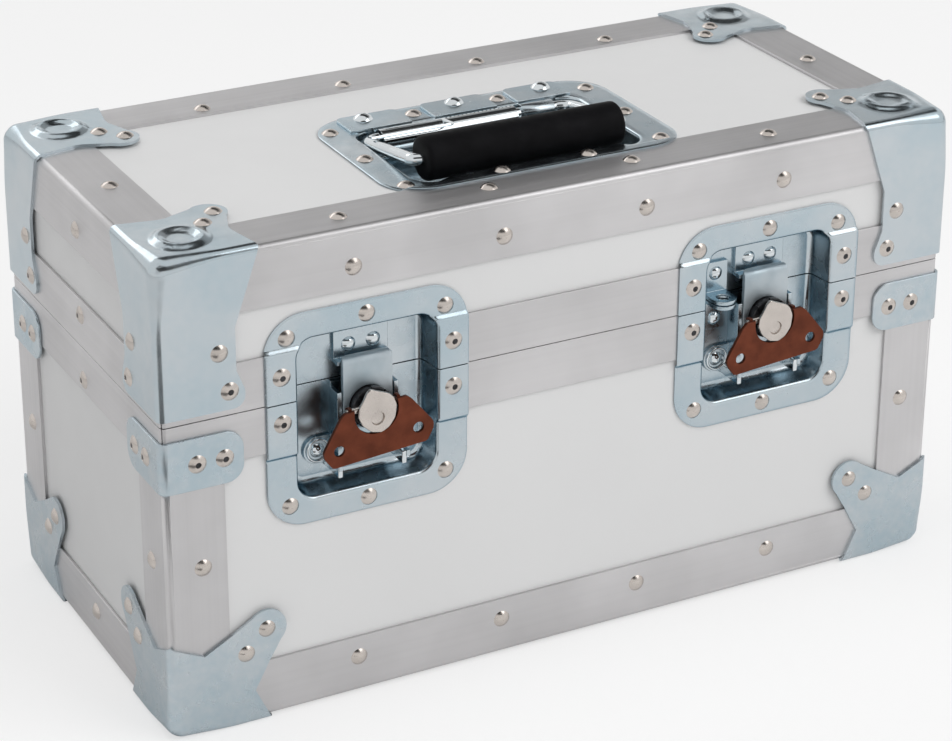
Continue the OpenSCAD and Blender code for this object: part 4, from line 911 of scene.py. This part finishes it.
def rounded_bars(name, boxes, rounding):
    """Small blocks with rounded edges, in one mesh, each from its low to its high corner."""
    build = bmesh.new()
    for low, high in boxes:
        made = bmesh.ops.create_cube(build, size=1)["verts"]
        for v in made:
            v.co = Vector([low[k] + (v.co[k] + 0.5) * (high[k] - low[k]) for k in range(3)])
    bmesh.ops.bevel(build, geom=build.edges[:], offset=rounding, segments=3, affect="EDGES", profile=0.5)
    return finish_mesh(build, name)


def rolled_barrel(name, start, end, radius):
    """A rolled sheet along X, open below, over the handle's return spring."""
    build = bmesh.new()
    steps, first_turn, whole_turn = 26, -50, 280
    turns = [math.radians(first_turn + whole_turn * k / steps) for k in range(steps + 1)]
    left, right = [[build.verts.new((x, start.y + radius * math.cos(a), start.z + radius * math.sin(a)))
                    for a in turns] for x in (start.x, end.x)]
    for k in range(steps):
        build.faces.new((left[k], right[k], right[k + 1], left[k + 1]))
    return to_mesh(build, name)


GRIP_PROFILE = ((0, 0.62), (0, 0.84), (0.004, 0.93), (0.012, 0.985), (0.022, 1), (0.05, 1), (0.5, 1),
                (0.95, 1), (0.978, 1), (0.988, 0.985), (0.996, 0.93), (1, 0.84), (1, 0.62))


def grip_tube(name, radius):
    """The moulded grip along X; its profile pairs shares of the CAD grip's length and of the radius."""
    low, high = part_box("handle_grip")
    middle, length = (low + high) / 2, high.x - low.x
    across, up = Vector((0, 1, 0)), Vector((0, 0, 1))
    build = bmesh.new()
    bridge_rings(build, [circle(build, Vector((low.x + along * length, middle.y, middle.z)), across, up,
                                share * radius, 64) for along, share in GRIP_PROFILE])
    return finish_mesh(build, name, crease=None)


# Operators for the pieces

def nodes_ending(*endings):
    return [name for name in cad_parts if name.endswith(endings)]


class CASE_OT_panels(bpy.types.Operator):
    """Finish the white laminate panels"""
    bl_idname = "case.panels"
    bl_label = "Panels"

    def execute(self, context):
        material = laminate_material(context.scene.case_colours)
        clad(nodes_ending("_panel"), material, context.scene.case_sizes.panel_round, "laminate")
        return {"FINISHED"}


class CASE_OT_edges(bpy.types.Operator):
    """Finish the aluminium angles, posts and rims"""
    bl_idname = "case.edges"
    bl_label = "Edge extrusions"

    def execute(self, context):
        colours, rounding = context.scene.case_colours, context.scene.case_sizes.angle_round
        # Scales of the drawing lines: fine across them, and nearly even along them
        across, along = 420, 2
        runs = {
            "aluminium_across": ((along, across, across), nodes_ending("edge_front", "edge_back")),
            "aluminium_deep": ((across, along, across), nodes_ending("edge_left", "edge_right")),
            "aluminium_upright": ((across, across, along), ["base_posts", "lid_posts"]),
            "aluminium_rim": ((along, along, across), ["base_rim", "lid_rim"]),
        }
        for name, (stretch, nodes) in runs.items():
            clad(nodes, aluminium_material(colours, name, stretch), rounding, "edge_aluminium")
        return {"FINISHED"}


class CASE_OT_corners(bpy.types.Operator):
    """Finish the pressed steel corners, braces and hinges"""
    bl_idname = "case.corners"
    bl_label = "Steel corners"

    def execute(self, context):
        scene = context.scene
        colours, rounding = scene.case_colours, scene.case_sizes.steel_round
        pressings, leaf = scene.case_pressings, scene.case_pressings.leaf
        pressed = zinc_material(colours, "pressed_zinc", 0.3, 0.6)
        top, upright = lobe_outline(leaf, **TOP_LEAF), upright_outline(leaf, **UPRIGHT_LEAF)
        high = corner_planes("lid")[1]
        shell = corner_shell((top, upright, upright), pressings, STACKING_RING_IN)
        piece = new_piece("lid_corner_pressings", four_corners(shell, "lid_corner_skins", high, 1),
                          zinc_material(colours, "polished_zinc", 0.2, 0.3), "lid", "corner_steel",
                          "lid_corners")
        give_sheet(piece, pressings.sheet, rounding)
        lobed = lobe_outline(leaf, **BOTTOM_LEAF)
        low, high = corner_planes("base")
        shell = corner_shell((lobed, lobed, lobed), pressings)
        mesh = four_corners(shell, "bottom_corner_skins", Vector((high.x, high.y, low.z)), -1)
        piece = new_piece("bottom_corner_pressings", mesh, pressed, "base", "corner_steel",
                          "bottom_corners")
        give_sheet(piece, pressings.sheet, rounding)
        dress(["rim_braces", "hinge_base_leaves", "hinge_lid_leaves"], pressed, rounding)
        return {"FINISHED"}


class CASE_OT_rivets(bpy.types.Operator):
    """Finish the rivet heads and hinge pins"""
    bl_idname = "case.rivets"
    bl_label = "Rivets"

    def execute(self, context):
        colours = context.scene.case_colours
        dress(["base_rivets", "base_blind_rivets", "lid_rivets", "lid_blind_rivets", "hinge_pins"],
              nickel_material(colours, "rivet_nickel", 0.24))
        dress(["base_small_rivets", "lid_small_rivets"], bright_material(colours))
        # Painted shade: dark buttons in the blind rivets' hollow noses, in the cams' black
        black, nose_shade_radius = cam_material(colours), 1.75 * MM
        for body in ("base", "lid"):
            noses = blind_noses(body + "_noses", body + "_blind_rivets", nose_shade_radius)
            new_piece(body + "_rivet_nose_shade", noses, black, body, "rivet_nickel")
        return {"FINISHED"}


class CASE_OT_latches(bpy.types.Operator):
    """Finish the latch dishes and their moving parts"""
    bl_idname = "case.latches"
    bl_label = "Latches"

    def execute(self, context):
        colours, sizes = context.scene.case_colours, context.scene.case_sizes
        pressings, rounding = context.scene.case_pressings, sizes.small_round
        # The dish zinc carries a painted reflection: dark blue-green on faces seen at a slant
        zinc = zinc_material(colours, "dish_zinc", 0.24, 0.25, 0.85)
        satin = zinc_material(colours, "claw_zinc", 0.5, 0.2)
        hub, bright, black = (nickel_material(colours, "hub_nickel", 0.25), bright_material(colours),
                              cam_material(colours))
        lean = -math.radians(4.5)
        ring_radius, ring_bead, foot_round = 5.6 * MM, 0.75 * MM, 0.5 * MM
        for side in ("left", "right"):
            latch, turned = LatchPlace(side), side + "_hub"
            for half, body in (("lower", "base"), ("upper", "lid")):
                node = side + "_" + half + "_dish"
                mesh = latch.dish_half(node + "_skin", half == "upper", pressings)
                piece = new_piece(node + "_pressing", mesh, zinc, body, "zinc_steel", node)
                give_sheet(piece, pressings.dish_sheet, rounding)
            cap, cam = hub_cap(side + "_cap", latch.hub, lean), hub_cam(side + "_cam", latch.hub, lean)
            new_piece(side + "_hub_cap", cap, hub, turned, "hub_nickel", turned)
            new_piece(side + "_hub_cam", cam, black, turned, "hub_nickel")
            ring = ear_ring(side + "_ring", latch.ear(), ring_radius, ring_bead)
            new_piece(side + "_ear_ring", ring, bright, "base", "zinc_steel")
            feet = rounded_bars(side + "_feet", latch.feet(), foot_round)
            new_piece(side + "_wing_feet", feet, bright, "base", "zinc_steel")
            plate = claw_plate(side + "_plate", latch)
            new_piece(side + "_claw_plate", plate, satin, side + "_claw", "zinc_steel", side + "_claw")
        dress(nodes_ending("base_plate", "keeper", "padlock_eye"), zinc, rounding)
        dress(["left_wing_pin", "right_wing_pin"], hub, rounding)
        dress(["left_wing", "right_wing"], copper_material(colours), sizes.wing_round)
        return {"FINISHED"}


class CASE_OT_handle(bpy.types.Operator):
    """Finish the handle and make its moulded grip"""
    bl_idname = "case.handle"
    bl_label = "Handle"

    def execute(self, context):
        colours, sizes = context.scene.case_colours, context.scene.case_sizes
        zinc = zinc_material(colours, "handle_dish_zinc", 0.22, 0.4)
        pressings = context.scene.case_pressings
        piece = new_piece("handle_dish_pressing", handle_dish_skin("handle_dish_skin", pressings), zinc,
                          "lid", "zinc_steel", "handle_dish")
        give_sheet(piece, pressings.dish_sheet, sizes.small_round)
        dress(["handle_bracket"], zinc, sizes.small_round)
        bright = bright_material(colours)
        middle, behind, below, reach_left, reach_right = -4 * MM, 79.5 * MM, 3.5 * MM, 48 * MM, 26.5 * MM
        barrel_radius, barrel_sheet, barrel_edge = 5.6 * MM, 0.5 * MM, 0.1 * MM
        pivot = Vector((middle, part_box("handle_dish")[0].y + behind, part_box("lid_top_panel")[1].z - below))
        start, end = pivot - Vector((reach_left, 0, 0)), pivot + Vector((reach_right, 0, 0))
        piece = new_piece("hinge_barrel", rolled_barrel("barrel", start, end, barrel_radius), bright,
                          "lid", "zinc_steel")
        give_sheet(piece, barrel_sheet, barrel_edge)
        dress(["handle_rod", "handle_spring"], bright)
        new_piece("moulded_grip", grip_tube("grip", sizes.grip_radius), rubber_material(colours), "handle",
                  "grip_rubber", "handle_grip")
        return {"FINISHED"}


class CASE_OT_foam(bpy.types.Operator):
    """Make the soft foam inserts"""
    bl_idname = "case.foam"
    bl_label = "Foam"

    def execute(self, context):
        colours, sizes = context.scene.case_colours, context.scene.case_sizes
        material = foam_material(colours)
        for node_name, body in (("base_foam", "base"), ("lid_foam", "lid")):
            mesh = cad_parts[node_name].data.copy()
            mesh.materials.clear()
            piece = new_piece(body + "_foam_insert", mesh, material, body, "foam", node_name)
            round_edges(piece, sizes.foam_round)
        return {"FINISHED"}


# The studio

def aim(thing, place, target):
    """Sets a thing down at a place, with its -Z axis towards a target."""
    thing.location = place
    thing.rotation_euler = (Vector(target) - Vector(place)).to_track_quat("-Z", "Y").to_euler()


def area_lamp(name, power, size, place, target):
    """A soft rectangular lamp that reflections don't see."""
    data = bpy.data.lights.new(name, "AREA")
    data.energy = power
    data.shape = "RECTANGLE"
    data.size, data.size_y = size
    lamp = bpy.data.objects.new(name, data)
    bpy.context.collection.objects.link(lamp)
    aim(lamp, place, target)
    lamp.visible_glossy = False


def studio_world(studio):
    """White surroundings whose strength differs for plain light, reflections and the camera."""
    world = bpy.data.worlds.new("white_studio")
    bpy.context.scene.world = world
    world.use_nodes = True
    nodes, links = world.node_tree.nodes, world.node_tree.links
    surround = nodes["Background"]
    surround.inputs["Color"].default_value = (1, 1, 1, 1)
    surround.inputs["Strength"].default_value = studio.ambient
    rays = nodes.new("ShaderNodeLightPath")
    last = surround
    for ray, strength in (("Is Glossy Ray", studio.mirrored), ("Is Transmission Ray", 1),
                          ("Is Camera Ray", 1)):
        white = nodes.new("ShaderNodeBackground")
        white.inputs["Color"].default_value = (1, 1, 1, 1)
        white.inputs["Strength"].default_value = strength
        mix = nodes.new("ShaderNodeMixShader")
        links.new(rays.outputs[ray], mix.inputs[0])
        links.new(last.outputs[0], mix.inputs[1])
        links.new(white.outputs[0], mix.inputs[2])
        last = mix
    links.new(last.outputs[0], nodes["World Output"].inputs["Surface"])


def floor_material(studio):
    """A pale paper floor that the camera sees nearly white, with the object's shadow kept."""
    material, shader = new_material("pale_floor", (0.93, 0.93, 0.93), 0, 0.9)
    glow = add_node(material, "ShaderNodeEmission", Color=(1, 1, 1, 1), Strength=1.0)
    rays = add_node(material, "ShaderNodeLightPath")
    share = add_node(material, "ShaderNodeMath", a_operation="MULTIPLY")
    share.inputs[1].default_value = studio.floor_glow
    mix = add_node(material, "ShaderNodeMixShader")
    wire(material, rays.outputs["Is Camera Ray"], share.inputs[0])
    wire(material, share.outputs[0], mix.inputs[0])
    wire(material, shader.outputs[0], mix.inputs[1])
    wire(material, glow.outputs[0], mix.inputs[2])
    wire(material, mix.outputs[0], material.node_tree.nodes["Material Output"].inputs["Surface"])
    return material


def reflection_card(name, size, place, target, tone, glow=0.0):
    """A card that only reflections see, so that bright metal has something dark or bright to mirror."""
    build = bmesh.new()
    bmesh.ops.create_grid(build, x_segments=4, y_segments=4, size=0.5)
    bmesh.ops.scale(build, vec=(size[0], size[1], 1), verts=build.verts)
    card = bpy.data.objects.new(name, to_mesh(build, name, rounded=False))
    bpy.context.collection.objects.link(card)
    aim(card, place, target)
    material, shader = new_material(name + "_cloth", (tone, tone, tone), 0, 1)
    shader.inputs["Emission Color"].default_value = (1, 1, 1, 1)
    shader.inputs["Emission Strength"].default_value = glow
    card.data.materials.append(material)
    for kind in ("camera", "diffuse", "transmission", "volume_scatter", "shadow"):
        setattr(card, "visible_" + kind, False)


def photo_camera(studio):
    """The camera as solved from the photograph, with lengths in widths of the case."""
    case_width, distance, aim_right, aim_up, stand = 0.425, 3.4259, -0.0149, 0.3849, 1.5 * MM
    turn, rise, roll = -0.4827, 0.4081, 0.0022
    data = bpy.data.cameras.new("camera")
    data.sensor_width = 36
    data.lens = studio.lens
    data.shift_x, data.shift_y = 0.0091, -0.1095
    data.clip_start, data.clip_end = 0.05, 50
    camera = bpy.data.objects.new("camera", data)
    back = Vector((math.sin(turn) * math.cos(rise), -math.cos(turn) * math.cos(rise), math.sin(rise)))
    target = Vector((aim_right, 0, aim_up)) * case_width + Vector((0, 0, stand))
    camera.rotation_mode = "QUATERNION"
    camera.location = target + back * distance * case_width
    level = (-back).to_track_quat("-Z", "Y")
    camera.rotation_quaternion = level @ Matrix.Rotation(roll, 3, "Z").to_quaternion()
    return camera


class CASE_OT_studio(bpy.types.Operator):
    """Set up the floor, the soft lamps and the camera"""
    bl_idname = "case.studio"
    bl_label = "Studio"

    def execute(self, context):
        studio = context.scene.case_studio
        studio_world(studio)
        build = bmesh.new()
        bmesh.ops.create_grid(build, x_segments=8, y_segments=8, size=6)
        floor = bpy.data.objects.new("floor", to_mesh(build, "floor", rounded=False))
        context.collection.objects.link(floor)
        floor.data.materials.append(floor_material(studio))
        case = (0, 0, 0.15)
        area_lamp("key", studio.key, (2.2, 1.5), (1.35, -1.8, 2.1), (0, 0, 0.12))
        area_lamp("top", studio.top, (1.2, 1.0), (-0.3, 0.1, 2.3), (0, 0, 0.2))
        reflection_card("dark_above", (2.8, 1.6), (1.1, 1.0, 2.4), case, 0.04)
        reflection_card("softbox", (1.4, 1.4), (1.34, -1.39, 1.9), case, 0.9, studio.softbox)
        reflection_card("grey_behind", (1.1, 0.7), (1.0, 1.0, 1.12), (0.15, 0, 0.3), 0.45)
        reflection_card("bright_behind", (1.0, 0.55), (-0.42, 1.46, 1.12), (0, 0, 0.2), 0.9,
                        studio.back_card)
        reflection_card("dark_strip", (0.36, 0.36), (-0.40, -0.42, 0.003), (-0.40, -0.42, 1), 0.16)
        reflection_card("dark_behind_camera", (3.6, 1.3), (-0.60, -1.62, 1.85), case, 0.04)
        camera = photo_camera(studio)
        context.collection.objects.link(camera)
        context.scene.camera = camera
        context.scene.view_settings.view_transform = "Standard"
        return {"FINISHED"}


# The panel, and how the add-on is registered

class CASE_PT_workshop(bpy.types.Panel):
    bl_label = "Lens case"
    bl_idname = "CASE_PT_workshop"
    bl_space_type = "VIEW_3D"
    bl_region_type = "UI"
    bl_category = "Lens case"

    def draw(self, context):
        layout, scene = self.layout, context.scene
        for group in (scene.case_colours, scene.case_sizes, scene.case_pressings, scene.case_studio):
            box = layout.box()
            for key in group.__annotations__:
                box.prop(group, key)
        for operator in MAKERS:
            layout.operator(operator.bl_idname)


MAKERS = (CASE_OT_panels, CASE_OT_edges, CASE_OT_corners, CASE_OT_rivets, CASE_OT_latches,
          CASE_OT_handle, CASE_OT_foam, CASE_OT_studio)
GROUPS = {"case_colours": CaseColours, "case_sizes": CaseSizes, "case_pressings": CasePressings,
          "case_studio": CaseStudio}


def register():
    for cls in (*GROUPS.values(), *MAKERS, CASE_PT_workshop):
        bpy.utils.register_class(cls)
    for name, group in GROUPS.items():
        setattr(bpy.types.Scene, name, PointerProperty(type=group))


def unregister():
    for name in GROUPS:
        delattr(bpy.types.Scene, name)
    for cls in (CASE_PT_workshop, *reversed(MAKERS), *reversed(GROUPS.values())):
        bpy.utils.unregister_class(cls)


def main():
    register()
    for maker in MAKERS:
        group, name = maker.bl_idname.split(".")
        if getattr(getattr(bpy.ops, group), name)() != {"FINISHED"}:
            raise RuntimeError(maker.bl_label + " didn't finish")


if __name__ == "__main__":
    main()
